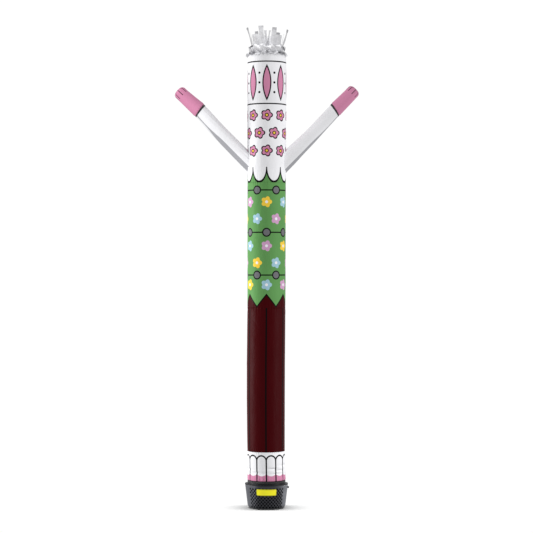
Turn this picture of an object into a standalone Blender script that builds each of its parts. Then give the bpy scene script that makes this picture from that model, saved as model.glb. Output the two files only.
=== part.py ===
"""Inflatable air dancer on its blower: a tall cloth tube in four sewn panels, two arms and a fringed crown.

Units are metres, +Z is up, and the origin is the middle of the blower's flat underside. The front faces -Y,
and an azimuth is an angle round the vertical axis, in degrees: 0 is the front and 90 is +X.
"""

import math
from collections import namedtuple

import bmesh
import bpy
from mathutils import Euler, Matrix, Vector

# Cloth and fits
CLOTH = 0.002
FIT = 0.0003  # gap left between two pieces that meet
SIDES = 36  # of the tube and of every turned piece, so that their flats lie along each other
SHARP_ANGLE = 40
MERGE_DISTANCE = 0.0001

# Heights of the sewn seams, from the floor up
HEM_Z = 0.309
FOOT_SEAM_Z = 0.679
WAIST_SEAM_Z = 2.385
NECK_SEAM_Z = 3.870
SHOULDER_Z = 5.350  # where the head starts to draw in
CROWN_Z = 5.412  # top of the drawn-in head
VENT_RADIUS = 0.156  # air leaves through this hole in the crown
CROWN_STEPS = 4
CROWN_GATHER = 0.005

# The tube between hem and shoulder, an 18 inch one: its radius, the sideways sway of its middle, and the
# depth of the gathers over the strap
Section = namedtuple("Section", "z radius sway gather")
HEM_RADIUS = 0.2235  # where the strap holds it
BODY = (
    Section(z=HEM_Z, radius=HEM_RADIUS, sway=0.000, gather=0.0000),
    Section(z=0.334, radius=HEM_RADIUS, sway=0.000, gather=0.0000),
    Section(z=0.352, radius=0.2258, sway=0.000, gather=0.0030),
    Section(z=0.380, radius=0.2252, sway=0.000, gather=0.0015),
    Section(z=0.410, radius=0.2243, sway=-0.001, gather=0.0000),
    Section(z=0.436, radius=0.2242, sway=-0.001, gather=0.0000),
    Section(z=0.462, radius=0.2242, sway=-0.001, gather=0.0000),
    Section(z=0.500, radius=0.2240, sway=-0.002, gather=0.0000),
    Section(z=0.560, radius=0.2238, sway=-0.003, gather=0.0000),
    Section(z=0.630, radius=0.2234, sway=-0.004, gather=0.0000),
    Section(z=FOOT_SEAM_Z, radius=0.2225, sway=-0.005, gather=0.0000),
    Section(z=0.780, radius=0.2236, sway=-0.006, gather=0.0000),
    Section(z=0.980, radius=0.2252, sway=-0.007, gather=0.0000),
    Section(z=1.300, radius=0.2270, sway=-0.008, gather=0.0000),
    Section(z=1.740, radius=0.2275, sway=-0.007, gather=0.0000),
    Section(z=2.150, radius=0.2272, sway=-0.003, gather=0.0000),
    Section(z=WAIST_SEAM_Z, radius=0.2264, sway=-0.001, gather=0.0000),
    Section(z=2.620, radius=0.2270, sway=0.000, gather=0.0000),
    Section(z=3.100, radius=0.2274, sway=0.000, gather=0.0000),
    Section(z=3.600, radius=0.2276, sway=0.001, gather=0.0000),
    Section(z=NECK_SEAM_Z, radius=0.2285, sway=0.002, gather=0.0000),
    Section(z=3.960, radius=0.2300, sway=0.002, gather=0.0000),
    Section(z=4.420, radius=0.2315, sway=0.003, gather=0.0000),
    Section(z=4.800, radius=0.2320, sway=0.004, gather=0.0000),
    Section(z=5.200, radius=0.2315, sway=0.005, gather=0.0000),
    Section(z=SHOULDER_Z, radius=0.2295, sway=0.005, gather=0.0000),
)
GATHERS = 9  # round the hem
RING_CLEARANCE = 0.004  # a row of BODY this close to a seam is left out, as the seam has a ring of its own

# Soft troughs in the tube, each a level fold that dies away to both sides
Fold = namedtuple("Fold", "azimuth z half_angle half_height depth")
FOLDS = (
    Fold(azimuth=38, z=0.436, half_angle=42, half_height=0.022, depth=0.007),
    Fold(azimuth=-30, z=0.410, half_angle=34, half_height=0.020, depth=0.005),
    Fold(azimuth=150, z=0.462, half_angle=46, half_height=0.024, depth=0.006),
    Fold(azimuth=-120, z=0.560, half_angle=50, half_height=0.040, depth=0.005),
    Fold(azimuth=20, z=WAIST_SEAM_Z, half_angle=60, half_height=0.090, depth=0.003),
    Fold(azimuth=-150, z=NECK_SEAM_Z, half_angle=60, half_height=0.040, depth=0.003),
)
FOLD_FALLOFF = 1.6

# Arms: points on the middle line, the cloth's radius there, and the number of steps to the next point. The
# line starts inside the tube, and the hand swells a little just past the bound wrist
Joint = namedtuple("Joint", "x z radius steps")
ARM_SIDES = 16
ARMS = {
    "right": {
        "start": Joint(x=0.150, z=4.054, radius=0.0990, steps=1),
        "root": Joint(x=0.280, z=4.183, radius=0.0985, steps=3),
        "elbow": Joint(x=0.519, z=4.419, radius=0.0860, steps=3),
        "wrist": Joint(x=0.822, z=4.747, radius=0.0815, steps=1),
        "heel": Joint(x=0.835, z=4.760, radius=0.0865, steps=3),
        "tip": Joint(x=1.066, z=4.992, radius=0.0745, steps=0),
    },
    "left": {
        "start": Joint(x=-0.150, z=4.061, radius=0.0936, steps=1),
        "root": Joint(x=-0.316, z=4.227, radius=0.0932, steps=3),
        "elbow": Joint(x=-0.555, z=4.472, radius=0.0905, steps=3),
        "wrist": Joint(x=-0.797, z=4.738, radius=0.0845, steps=1),
        "heel": Joint(x=-0.810, z=4.750, radius=0.0915, steps=3),
        "tip": Joint(x=-1.062, z=4.976, radius=0.0735, steps=0),
    },
}
WRIST_SKEW = {"right": 14, "left": 9}  # turns the wrist seam nearer to upright than square
TIP_LENGTH = 0.045  # the rounded end of a hand
TIP_CLEARANCE = 0.011  # a ring of the hand this close to the rounded end is left out
TIP_STEPS = 3
TIP_BLUNTNESS = 0.7  # 1 is a half ball, and less is flatter in the middle
KEEL_ANGLE = {"right": 22, "left": 36}  # a sleeve is flattened below, turned this far towards the front
KEEL_DEPTH = 0.87  # distance of the flat from the middle line, as a share of the radius
TRIM_LOW_Z = 3.960  # the stretch of the tube that the sleeves are trimmed to
TRIM_TOP_Z = 4.420
CUFF_WIDTH = 0.018
CUFF_THICKNESS = 0.0015

# The crown's fringe: flat ribbons rooted in one sewn heading round the vent
HEADING_INNER = 0.158
HEADING_OUTER = 0.163
HEADING_HEIGHT = 0.036
RIBBON_WIDTH = 0.062
RIBBON_TIP_WIDTH = 0.058
RIBBON_THICKNESS = 0.0015
RIBBON_ROOT_THICKNESS = 0.004
RIBBON_STEPS = 5
# Each ribbon: its azimuth, its slant from upright at the root and at the tip in degrees, and its length
Ribbon = namedtuple("Ribbon", "azimuth root_slant tip_slant length")
UPRIGHT = (
    Ribbon(azimuth=28, root_slant=6, tip_slant=12, length=0.280),
    Ribbon(azimuth=55, root_slant=5, tip_slant=18, length=0.248),
    Ribbon(azimuth=84, root_slant=24, tip_slant=13, length=0.274),
    Ribbon(azimuth=117, root_slant=8, tip_slant=20, length=0.238),
    Ribbon(azimuth=143, root_slant=4, tip_slant=14, length=0.262),
    Ribbon(azimuth=168, root_slant=6, tip_slant=16, length=0.272),
    Ribbon(azimuth=193, root_slant=3, tip_slant=13, length=0.282),
    Ribbon(azimuth=218, root_slant=5, tip_slant=12, length=0.282),
    Ribbon(azimuth=243, root_slant=7, tip_slant=18, length=0.256),
    Ribbon(azimuth=276, root_slant=11, tip_slant=16, length=0.294),
    Ribbon(azimuth=304, root_slant=4, tip_slant=15, length=0.268),
    Ribbon(azimuth=340, root_slant=5, tip_slant=11, length=0.296),
)
DROOPING = (
    Ribbon(azimuth=0, root_slant=55, tip_slant=118, length=0.100),
    Ribbon(azimuth=30, root_slant=62, tip_slant=150, length=0.115),
    Ribbon(azimuth=60, root_slant=60, tip_slant=160, length=0.120),
    Ribbon(azimuth=90, root_slant=45, tip_slant=88, length=0.080),
    Ribbon(azimuth=120, root_slant=52, tip_slant=84, length=0.088),
    Ribbon(azimuth=150, root_slant=60, tip_slant=120, length=0.098),
    Ribbon(azimuth=180, root_slant=52, tip_slant=146, length=0.110),
    Ribbon(azimuth=210, root_slant=62, tip_slant=130, length=0.095),
    Ribbon(azimuth=240, root_slant=50, tip_slant=118, length=0.100),
    Ribbon(azimuth=270, root_slant=42, tip_slant=76, length=0.072),
    Ribbon(azimuth=300, root_slant=58, tip_slant=165, length=0.130),
    Ribbon(azimuth=330, root_slant=60, tip_slant=124, length=0.104),
)
UPRIGHT_ROOT = (0.1605, CROWN_Z + 0.026)  # radius and height of the ribbons' first points
DROOPING_ROOT = (0.1586, CROWN_Z + 0.012)

# Strap that holds the hem on the blower's collar
STRAP_LOW_Z = HEM_Z + 0.001
STRAP_WIDTH = 0.022
STRAP_THICKNESS = 0.002

# Blower: a tapered drum with a rounded foot, a lid with an outlet collar, and the fan's duct hanging inside
DRUM_TOP_Z = 0.288
DRUM_TOP_RADIUS = 0.2560
DRUM_LOW_Z = 0.048
DRUM_LOW_RADIUS = 0.2190
FOOT_RADIUS = 0.180
FOOT_STEPS = 4
DRUM_WALL = 0.004
DRUM_FLOOR = 0.008
LID_THICKNESS = 0.006
LID_LIP = 0.0015
LID_EDGE = 0.003
COLLAR_RADIUS = HEM_RADIUS - CLOTH - 2 * FIT
COLLAR_WALL = 0.004
COLLAR_TOP_Z = 0.332
COLLAR_CHAMFER = 0.002
DUCT_RADIUS = 0.2060
DUCT_WALL = 0.0025
DUCT_LOW_Z = 0.060
DUCT_FLANGE = 0.026

# Air holes, front and back, at twice the real pitch
HOLE_RADIUS = 0.0135
HOLE_PITCH_ANGLE = 11.0
HOLE_COLUMNS = 9
HOLE_ROWS = 6
HOLE_LOW_Z = 0.066
HOLE_PITCH_Z = 0.036
HOLE_STAGGER = 0.25  # shift of each row from the middle, as a share of the pitch
HOLE_SIDES = 6
HOLE_DEPTH = 0.024

# Bare plate on the drum's front, and the stud on its right side
PLATE_HALF_ANGLE = 28.0
PLATE_LOW_Z = 0.171
PLATE_TOP_Z = 0.253
PLATE_THICKNESS = 0.0015
STUD_RADIUS = 0.014
STUD_LENGTH = 0.018
STUD_TAPER = 0.8
STUD_SIDES = 16
STUD_Z = 0.246


def clear_scene():
    for obj in list(bpy.data.objects):
        bpy.data.objects.remove(obj)


def make_material(name, colour, roughness, metallic=0.0):
    material = bpy.data.materials.new(name)
    material.use_nodes = True
    shader = material.node_tree.nodes["Principled BSDF"]
    shader.inputs["Base Color"].default_value = (*colour, 1.0)
    shader.inputs["Roughness"].default_value = roughness
    shader.inputs["Metallic"].default_value = metallic
    return material


def make_object(name, mesh, collection, material=None):
    obj = bpy.data.objects.new(name, mesh)
    collection.objects.link(obj)
    if material is not None:
        mesh.materials.append(material)
    return obj


def mesh_from(name, bm, smooth=True):
    bmesh.ops.recalc_face_normals(bm, faces=bm.faces)
    mesh = bpy.data.meshes.new(name)
    bm.to_mesh(mesh)
    bm.free()
    if smooth:
        mesh.shade_smooth()
        mesh.set_sharp_from_angle(angle=math.radians(SHARP_ANGLE))
    return mesh


def around(azimuth, radius, z, sway=0.0):
    """The point at that azimuth in degrees, distance from the axis and height."""
    angle = math.radians(azimuth)
    return Vector((sway + radius * math.sin(angle), -radius * math.cos(angle), z))


def bridge_rings(bm, rings):
    """Quads between neighbouring closed rings of vertices."""
    for low, high in zip(rings, rings[1:]):
        count = len(low)
        for i in range(count):
            j = (i + 1) % count
            bm.faces.new((low[i], low[j], high[j], high[i]))


def add_solidify(obj, thickness):
    """Thickens an open surface inwards, so that its outer face stays where it is."""
    modifier = obj.modifiers.new("thickness", "SOLIDIFY")
    modifier.thickness = thickness
    modifier.offset = -1
    modifier.use_even_offset = True


def shell(name, rings, collection, material, pole=None):
    """A skin through the rings, with its thickness, open at both ends or closed at the last by a pole."""
    bm = bmesh.new()
    rows = [[bm.verts.new(point) for point in ring] for ring in rings]
    bridge_rings(bm, rows)
    if pole is not None:
        tip = bm.verts.new(pole)
        last = rows[-1]
        for i, vert in enumerate(last):
            bm.faces.new((vert, last[(i + 1) % len(last)], tip))
    obj = make_object(name, mesh_from(name, bm), collection, material)
    add_solidify(obj, CLOTH)
    return obj


def add_boolean(obj, operation, other):
    modifier = obj.modifiers.new(operation.lower(), "BOOLEAN")
    modifier.operation = operation
    modifier.object = other
    modifier.solver = "EXACT"


def hide_cutter(obj):
    obj.hide_render = True
    obj.display_type = "WIRE"


# --- the tube -------------------------------------------------------------------------------------


def blend(low, high, share):
    return low + (high - low) * share


def section_at(z):
    """The tube's section at a height, read between the rows of BODY."""
    for low, high in zip(BODY, BODY[1:]):
        if low.z <= z <= high.z:
            share = (z - low.z) / (high.z - low.z)
            return Section(*(blend(a, b, share) for a, b in zip(low, high)))
    return BODY[0] if z < BODY[0].z else BODY[-1]


def fold_depth(azimuth, z):
    """How far the folds draw the cloth in at a place on the tube."""
    depth = 0.0
    for fold in FOLDS:
        turn = (azimuth - fold.azimuth + 180) % 360 - 180
        across = (turn / fold.half_angle) ** 2 + ((z - fold.z) / fold.half_height) ** 2
        depth += fold.depth * math.exp(-FOLD_FALLOFF * across)
    return depth


def tube_ring(section, grow=0.0):
    """The points of one level ring of the tube's outer face, grow further out than the cloth."""
    points = []
    for i in range(SIDES):
        azimuth = 360 * i / SIDES
        gather = section.gather * math.cos(math.radians(GATHERS * azimuth))
        radius = section.radius + gather - fold_depth(azimuth, section.z) + grow
        points.append(around(azimuth, radius, section.z, section.sway))
    return points


def crown_rings():
    """Rings from the shoulder up to the vent: a quarter of an oval, with soft pleats."""
    shoulder = BODY[-1]
    rings = []
    for step in range(1, CROWN_STEPS + 1):
        turn = math.pi / 2 * step / CROWN_STEPS
        radius = VENT_RADIUS + (shoulder.radius - VENT_RADIUS) * math.cos(turn)
        z = SHOULDER_Z + (CROWN_Z - SHOULDER_Z) * math.sin(turn)
        depth = CROWN_GATHER * math.sin(2 * turn)
        ring = []
        for i in range(SIDES):
            pleat = depth if i % 2 else 0.0
            ring.append(around(360 * i / SIDES, radius - pleat, z, shoulder.sway))
        rings.append(ring)
    return rings


def panel_sections(low_z, high_z):
    """The tube's sections between two seams, half a gap short of each."""
    low_z += FIT / 2
    high_z -= FIT / 2
    inside = [row for row in BODY if low_z + RING_CLEARANCE < row.z < high_z - RING_CLEARANCE]
    return [section_at(low_z), *inside, section_at(high_z)]


def cloth_panel(name, low_z, high_z, collection, material, crown=False):
    """One sewn length of the tube, open at both ends."""
    rings = [tube_ring(section) for section in panel_sections(low_z, high_z)]
    if crown:
        rings += crown_rings()
    return shell(name, rings, collection, material)


def shoulder_core(cutters):
    """A solid stretch of the tube, a gap wider than the cloth, that the sleeves are trimmed to."""
    bm = bmesh.new()
    rows = []
    for z in (TRIM_LOW_Z, TRIM_TOP_Z):
        rows.append([bm.verts.new(point) for point in tube_ring(section_at(z), FIT)])
    bridge_rings(bm, rows)
    bm.faces.new(rows[0])
    bm.faces.new(rows[-1])
    core = make_object("shoulder_core", mesh_from("shoulder_core", bm, smooth=False), cutters)
    hide_cutter(core)
    return core


# --- the arms -------------------------------------------------------------------------------------


def arm_sections(side):
    """The sections along a whole arm: (middle, direction, radius), through its named joints."""
    joints = list(ARMS[side].values())
    line = []
    for low, high in zip(joints, joints[1:]):
        for step in range(low.steps):
            share = step / low.steps
            middle = Vector((blend(low.x, high.x, share), 0, blend(low.z, high.z, share)))
            line.append((middle, blend(low.radius, high.radius, share)))
    last = joints[-1]
    line.append((Vector((last.x, 0, last.z)), last.radius))
    skew = math.copysign(math.radians(WRIST_SKEW[side]), last.x)
    sections = []
    for i, (middle, radius) in enumerate(line):
        before = line[max(i - 1, 0)][0]
        after = line[min(i + 1, len(line) - 1)][0]
        direction = (after - before).normalized()
        if i in (wrist_place(side), wrist_place(side) + 1):
            direction.rotate(Euler((0, skew, 0)))
        sections.append((middle, direction, radius))
    return sections


def wrist_place(side):
    """The number of the section at the wrist."""
    joints = ARMS[side]
    return joints["start"].steps + joints["root"].steps + joints["elbow"].steps


def keeled_radius(angle, radius, side, keel):
    """The cloth's distance from the middle line: round, but flattened below by the share keel."""
    turn = math.radians(angle - KEEL_ANGLE[side])
    if math.cos(turn) <= KEEL_DEPTH:
        return radius
    return blend(radius, KEEL_DEPTH * radius / math.cos(turn), keel)


def arm_ring(side, section, keel=0.0):
    """One ring square to the section's direction. Angle 0 points down and outwards, and 90 to the front."""
    middle, direction, radius = section
    front = Vector((0, -1, 0))
    down = direction.cross(front)
    if down.z > 0:
        down = -down
    points = []
    for i in range(ARM_SIDES):
        angle = 360 * i / ARM_SIDES
        reach = keeled_radius(angle, radius, side, keel)
        turn = math.radians(angle)
        points.append(middle + reach * (math.cos(turn) * down + math.sin(turn) * front))
    return points


def sleeve_rings(side, grow=0.0):
    """The rings of a sleeve's outer face, grown by that much. The flat underside dies out at the wrist."""
    wrist = wrist_place(side)
    rings = []
    for place, (middle, direction, radius) in enumerate(arm_sections(side)[: wrist + 1]):
        rings.append(arm_ring(side, (middle, direction, radius + grow), 1.0 - place / wrist))
    return rings


def sleeve(side, collection, material, core):
    """The white part of an arm, from the tube's wall to the wrist, open at both ends."""
    rings = sleeve_rings(side)
    direction = arm_sections(side)[wrist_place(side)][1]
    rings[-1] = [point - direction * FIT / 2 for point in rings[-1]]
    obj = shell(f"sleeve_{side}", rings, collection, material)
    add_boolean(obj, "DIFFERENCE", core)
    return obj


def arm_hole(side, cutters):
    """A round plug along the arm's root, for the hole in the head panel that the sleeve is sewn round."""
    joints = ARMS[side]
    start = Vector((joints["start"].x, 0, joints["start"].z))
    root = Vector((joints["root"].x, 0, joints["root"].z))
    radius = KEEL_DEPTH * joints["root"].radius - CLOTH
    name = f"arm_hole_{side}"
    bm = bmesh.new()
    bmesh.ops.create_cone(
        bm, segments=ARM_SIDES, radius1=radius, radius2=radius, depth=(root - start).length, cap_ends=True
    )
    turned = (root - start).to_track_quat("Z", "Y").to_matrix().to_4x4()
    bmesh.ops.transform(bm, matrix=Matrix.Translation((start + root) / 2) @ turned, verts=bm.verts)
    plug = make_object(name, mesh_from(name, bm, smooth=False), cutters)
    hide_cutter(plug)
    return plug


def hand(side, collection, material):
    """The pink end of an arm: open at the wrist, rounded and sewn shut at the tip."""
    sections = arm_sections(side)[wrist_place(side) :]
    middle, direction, radius = sections[0]
    sections[0] = (middle + direction * FIT / 2, direction, radius)
    pole, direction, radius = sections.pop()
    base = pole - direction * TIP_LENGTH
    sections = [section for section in sections if (base - section[0]).dot(direction) > TIP_CLEARANCE]
    for step in range(TIP_STEPS + 1):
        turn = math.pi / 2 * step / (TIP_STEPS + 1)
        forward = direction * TIP_LENGTH * math.sin(turn)
        sections.append((base + forward, direction, radius * math.cos(turn) ** TIP_BLUNTNESS))
    rings = [arm_ring(side, section) for section in sections]
    return shell(f"hand_{side}", rings, collection, material, pole)


def cuff(side, collection, material):
    """The black binding over the end of a sleeve, beside the seam to the hand."""
    wrist = wrist_place(side)
    sections = arm_sections(side)
    share = CUFF_WIDTH / (sections[wrist][0] - sections[wrist - 1][0]).length
    inner = 2 * FIT
    outer = inner + CUFF_THICKNESS
    bm = bmesh.new()
    rows = []
    for grow, along in ((inner, share), (outer, share), (outer, FIT), (inner, FIT)):
        before, at_wrist = sleeve_rings(side, grow)[-2:]
        rows.append([bm.verts.new(b.lerp(a, along)) for a, b in zip(before, at_wrist)])
    bridge_rings(bm, [*rows, rows[0]])
    name = f"cuff_{side}"
    return make_object(name, mesh_from(name, bm), collection, material)


# --- the crown's fringe ---------------------------------------------------------------------------


def ribbon_line(ribbon, root):
    """Points and slants along a ribbon, in the plane of its azimuth, bending evenly from root to tip."""
    radius, z = root
    step = ribbon.length / RIBBON_STEPS
    line = []
    for i in range(RIBBON_STEPS + 1):
        slant = math.radians(blend(ribbon.root_slant, ribbon.tip_slant, i / RIBBON_STEPS))
        line.append((radius, z, slant))
        radius += step * math.sin(slant)
        z += step * math.cos(slant)
    return line


def add_ribbon(bm, ribbon, root):
    """One flat ribbon as a closed four-sided strip."""
    angle = math.radians(ribbon.azimuth)
    outward = Vector((math.sin(angle), -math.cos(angle), 0))
    across = Vector((math.cos(angle), math.sin(angle), 0))
    middle_x = Vector((BODY[-1].sway, 0, 0))
    rows = []
    for i, (radius, z, slant) in enumerate(ribbon_line(ribbon, root)):
        share = i / RIBBON_STEPS
        half_width = blend(RIBBON_WIDTH, RIBBON_TIP_WIDTH, share) / 2
        half_depth = (RIBBON_ROOT_THICKNESS if i == 0 else RIBBON_THICKNESS) / 2
        centre = middle_x + outward * radius + Vector((0, 0, z))
        normal = outward * math.cos(slant) - Vector((0, 0, math.sin(slant)))
        corners = ((-1, -1), (1, -1), (1, 1), (-1, 1))
        rows.append(
            [bm.verts.new(centre + across * half_width * a + normal * half_depth * b) for a, b in corners]
        )
    bridge_rings(bm, rows)
    bm.faces.new(rows[0])
    bm.faces.new(rows[-1])


def crown_fringe(collection, cutters, material):
    """The sewn heading round the vent with every ribbon fused to it."""
    ribbons = bmesh.new()
    for ribbon in UPRIGHT:
        add_ribbon(ribbons, ribbon, UPRIGHT_ROOT)
    for ribbon in DROOPING:
        add_ribbon(ribbons, ribbon, DROOPING_ROOT)
    loose = make_object("loose_ribbons", mesh_from("loose_ribbons", ribbons, smooth=False), cutters)
    hide_cutter(loose)
    low_z = CROWN_Z + FIT
    heading = ring_object(
        "crown_fringe",
        (
            (HEADING_INNER, low_z),
            (HEADING_INNER, low_z + HEADING_HEIGHT),
            (HEADING_OUTER, low_z + HEADING_HEIGHT),
            (HEADING_OUTER, low_z),
        ),
        collection,
        material,
        closed=True,
        sway=BODY[-1].sway,
    )
    add_boolean(heading, "UNION", loose)
    return heading


# --- turned pieces --------------------------------------------------------------------------------


def ring_object(name, profile, collection, material, closed, sway=0.0):
    """A turned piece: a profile of (radius, z) points, which runs down its outer side."""
    bm = bmesh.new()
    verts = [bm.verts.new((radius, 0, z)) for radius, z in profile]
    for a, b in zip(verts, verts[1:]):
        bm.edges.new((a, b))
    if closed:
        bm.edges.new((verts[-1], verts[0]))
    mesh = bpy.data.meshes.new(name)
    bm.to_mesh(mesh)
    bm.free()
    obj = make_object(name, mesh, collection, material)
    obj.location.x = sway
    screw = obj.modifiers.new("turn", "SCREW")
    screw.steps = SIDES
    screw.render_steps = SIDES
    screw.use_merge_vertices = True
    screw.merge_threshold = MERGE_DISTANCE
    screw.use_smooth_shade = True
    return obj


# --- the blower -----------------------------------------------------------------------------------


def drum_radius(z):
    """The drum's outer radius on its straight side."""
    share = (z - DRUM_LOW_Z) / (DRUM_TOP_Z - DRUM_LOW_Z)
    return blend(DRUM_LOW_RADIUS, DRUM_TOP_RADIUS, share)


def foot_curve(inset):
    """The drum's rounded foot from its straight side down to the floor, inset from the outer face."""
    points = []
    for step in range(FOOT_STEPS + 1):
        turn = math.pi / 2 * step / FOOT_STEPS
        radius = FOOT_RADIUS + (DRUM_LOW_RADIUS - FOOT_RADIUS - inset) * math.cos(turn)
        z = DRUM_LOW_Z - (DRUM_LOW_Z - inset) * math.sin(turn)
        points.append((radius, z))
    return points


def drum(collection, cutters, material):
    """The perforated drum: floor, rounded foot and tapered wall in one moulding."""
    inner = foot_curve(DRUM_FLOOR)
    inner[0] = (DRUM_LOW_RADIUS - DRUM_WALL, DRUM_LOW_Z)
    profile = [(0.0, DRUM_FLOOR)]
    profile += reversed(inner)
    profile += [(DRUM_TOP_RADIUS - DRUM_WALL, DRUM_TOP_Z), (DRUM_TOP_RADIUS, DRUM_TOP_Z)]
    profile += foot_curve(0.0)
    profile.append((0.0, 0.0))
    obj = ring_object("blower_drum", profile, collection, material, closed=False)
    add_boolean(obj, "DIFFERENCE", air_holes(cutters))
    return obj


def air_holes(cutters):
    """Six-sided plugs through the drum's front and back, in staggered rows."""
    bm = bmesh.new()
    for facing in (0, 180):
        for row in range(HOLE_ROWS):
            z = HOLE_LOW_Z + row * HOLE_PITCH_Z
            shift = HOLE_STAGGER if row % 2 else -HOLE_STAGGER
            for column in range(HOLE_COLUMNS):
                azimuth = facing + (column - (HOLE_COLUMNS - 1) / 2 + shift) * HOLE_PITCH_ANGLE
                add_air_hole(bm, azimuth, z)
    plugs = make_object("air_holes", mesh_from("air_holes", bm, smooth=False), cutters)
    hide_cutter(plugs)
    return plugs


def add_air_hole(bm, azimuth, z):
    """A plug through the drum's wall at that place."""
    outward = around(azimuth, 1.0, 0.0)
    turned = outward.to_track_quat("Z", "Y").to_matrix().to_4x4()
    middle = around(azimuth, drum_radius(z) - DRUM_WALL / 2, z)
    bmesh.ops.create_cone(
        bm,
        segments=HOLE_SIDES,
        radius1=HOLE_RADIUS,
        radius2=HOLE_RADIUS,
        depth=HOLE_DEPTH,
        cap_ends=True,
        matrix=Matrix.Translation(middle) @ turned,
    )


def lid(collection, material):
    """The drum's lid with the collar that the tube fits over."""
    low_z = DRUM_TOP_Z + FIT
    high_z = low_z + LID_THICKNESS
    edge = DRUM_TOP_RADIUS + LID_LIP
    profile = (
        (COLLAR_RADIUS - COLLAR_WALL, low_z),
        (COLLAR_RADIUS - COLLAR_WALL, COLLAR_TOP_Z),
        (COLLAR_RADIUS - COLLAR_CHAMFER, COLLAR_TOP_Z),
        (COLLAR_RADIUS, COLLAR_TOP_Z - COLLAR_CHAMFER),
        (COLLAR_RADIUS, high_z),
        (edge - LID_EDGE, high_z),
        (edge, high_z - LID_EDGE),
        (edge, low_z),
    )
    return ring_object("blower_lid", profile, collection, material, closed=True)


def duct(collection, material):
    """The fan's sheet metal duct, hanging under the lid."""
    high_z = DRUM_TOP_Z
    profile = (
        (DUCT_RADIUS - DUCT_WALL, DUCT_LOW_Z),
        (DUCT_RADIUS - DUCT_WALL, high_z),
        (DUCT_RADIUS + DUCT_FLANGE, high_z),
        (DUCT_RADIUS + DUCT_FLANGE, high_z - DUCT_WALL),
        (DUCT_RADIUS, high_z - DUCT_WALL),
        (DUCT_RADIUS, DUCT_LOW_Z),
    )
    return ring_object("fan_duct", profile, collection, material, closed=True)


def plate(collection, material):
    """The bare plate, bent to the drum's front, with a fold along each of the drum's edges."""
    pitch = 360 / SIDES
    reach = int(PLATE_HALF_ANGLE / pitch)
    folds = [pitch * i for i in range(-reach, reach + 1)]
    azimuths = (-PLATE_HALF_ANGLE, *folds, PLATE_HALF_ANGLE)
    bm = bmesh.new()
    rows = []
    for z in (PLATE_LOW_Z, PLATE_TOP_Z):
        radius = drum_radius(z) + 2 * FIT + PLATE_THICKNESS
        rows.append([bm.verts.new(around(azimuth, radius, z)) for azimuth in azimuths])
    low, high = rows
    for i in range(len(low) - 1):
        bm.faces.new((low[i], low[i + 1], high[i + 1], high[i]))
    mesh = bpy.data.meshes.new("front_plate")
    bm.to_mesh(mesh)
    bm.free()
    obj = make_object("front_plate", mesh, collection, material)
    add_solidify(obj, PLATE_THICKNESS)
    return obj


def stud(collection, material):
    """The round stud on the drum's right side, square to the tapered wall."""
    rise = DRUM_TOP_Z - DRUM_LOW_Z
    out = DRUM_TOP_RADIUS - DRUM_LOW_RADIUS
    normal = Vector((rise, 0, -out)).normalized()
    bm = bmesh.new()
    bmesh.ops.create_cone(
        bm,
        segments=STUD_SIDES,
        radius1=STUD_RADIUS,
        radius2=STUD_RADIUS * STUD_TAPER,
        depth=STUD_LENGTH,
        cap_ends=True,
    )
    obj = make_object("side_stud", mesh_from("side_stud", bm), collection, material)
    wall = Vector((drum_radius(STUD_Z), 0, STUD_Z))
    obj.location = wall + normal * (FIT + STUD_LENGTH / 2)
    obj.rotation_euler = normal.to_track_quat("Z", "Y").to_euler()
    return obj


# --- the strap ------------------------------------------------------------------------------------


def strap(collection, material):
    """The webbing strap that clamps the hem to the collar."""
    inner = HEM_RADIUS + FIT
    outer = inner + STRAP_THICKNESS
    high_z = STRAP_LOW_Z + STRAP_WIDTH
    profile = ((inner, STRAP_LOW_Z), (inner, high_z), (outer, high_z), (outer, STRAP_LOW_Z))
    return ring_object("hem_strap", profile, collection, material, closed=True)


def build():
    """The whole part, one object a node."""
    clear_scene()
    scene = bpy.context.scene
    parts = bpy.data.collections.new("air_dancer")
    cutters = bpy.data.collections.new("cutters")
    scene.collection.children.link(parts)
    scene.collection.children.link(cutters)

    white = make_material("white_cloth", (0.90, 0.90, 0.91), 0.5)
    green = make_material("green_cloth", (0.13, 0.37, 0.10), 0.5)
    maroon = make_material("maroon_cloth", (0.055, 0.003, 0.005), 0.5)
    pink = make_material("pink_cloth", (0.62, 0.23, 0.38), 0.5)
    black = make_material("black_webbing", (0.012, 0.012, 0.013), 0.7)
    ribbon = make_material("ribbon_cloth", (0.80, 0.80, 0.81), 0.35)
    plastic = make_material("black_plastic", (0.035, 0.036, 0.040), 0.45)
    steel = make_material("black_steel", (0.018, 0.018, 0.020), 0.5, metallic=0.6)
    yellow = make_material("yellow_plate", (0.90, 0.80, 0.02), 0.4)

    cloth_panel("foot_panel", HEM_Z - FIT / 2, FOOT_SEAM_Z, parts, white)
    cloth_panel("leg_panel", FOOT_SEAM_Z, WAIST_SEAM_Z, parts, maroon)
    cloth_panel("chest_panel", WAIST_SEAM_Z, NECK_SEAM_Z, parts, green)
    head = cloth_panel("head_panel", NECK_SEAM_Z, SHOULDER_Z, parts, white, crown=True)
    core = shoulder_core(cutters)
    for side in ARMS:
        add_boolean(head, "DIFFERENCE", arm_hole(side, cutters))
        sleeve(side, parts, white, core)
        hand(side, parts, pink)
        cuff(side, parts, black)
    crown_fringe(parts, cutters, ribbon)

    strap(parts, black)
    drum(parts, cutters, plastic)
    lid(parts, plastic)
    duct(parts, steel)
    plate(parts, yellow)
    stud(parts, plastic)


build()
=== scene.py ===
"""The looks of an inflatable air dancer on its blower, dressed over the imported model.

Units are metres, +Z is up and the front faces -Y. An azimuth is an angle round the vertical axis, in degrees: 0 is
the front and 90 is +X. Every cloth surface has a UV map in metres, from which its print, weave and stitches are
drawn: on the tube U runs round from the middle of the front, and V is the height.
"""

import math
import random
from functools import reduce

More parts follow.
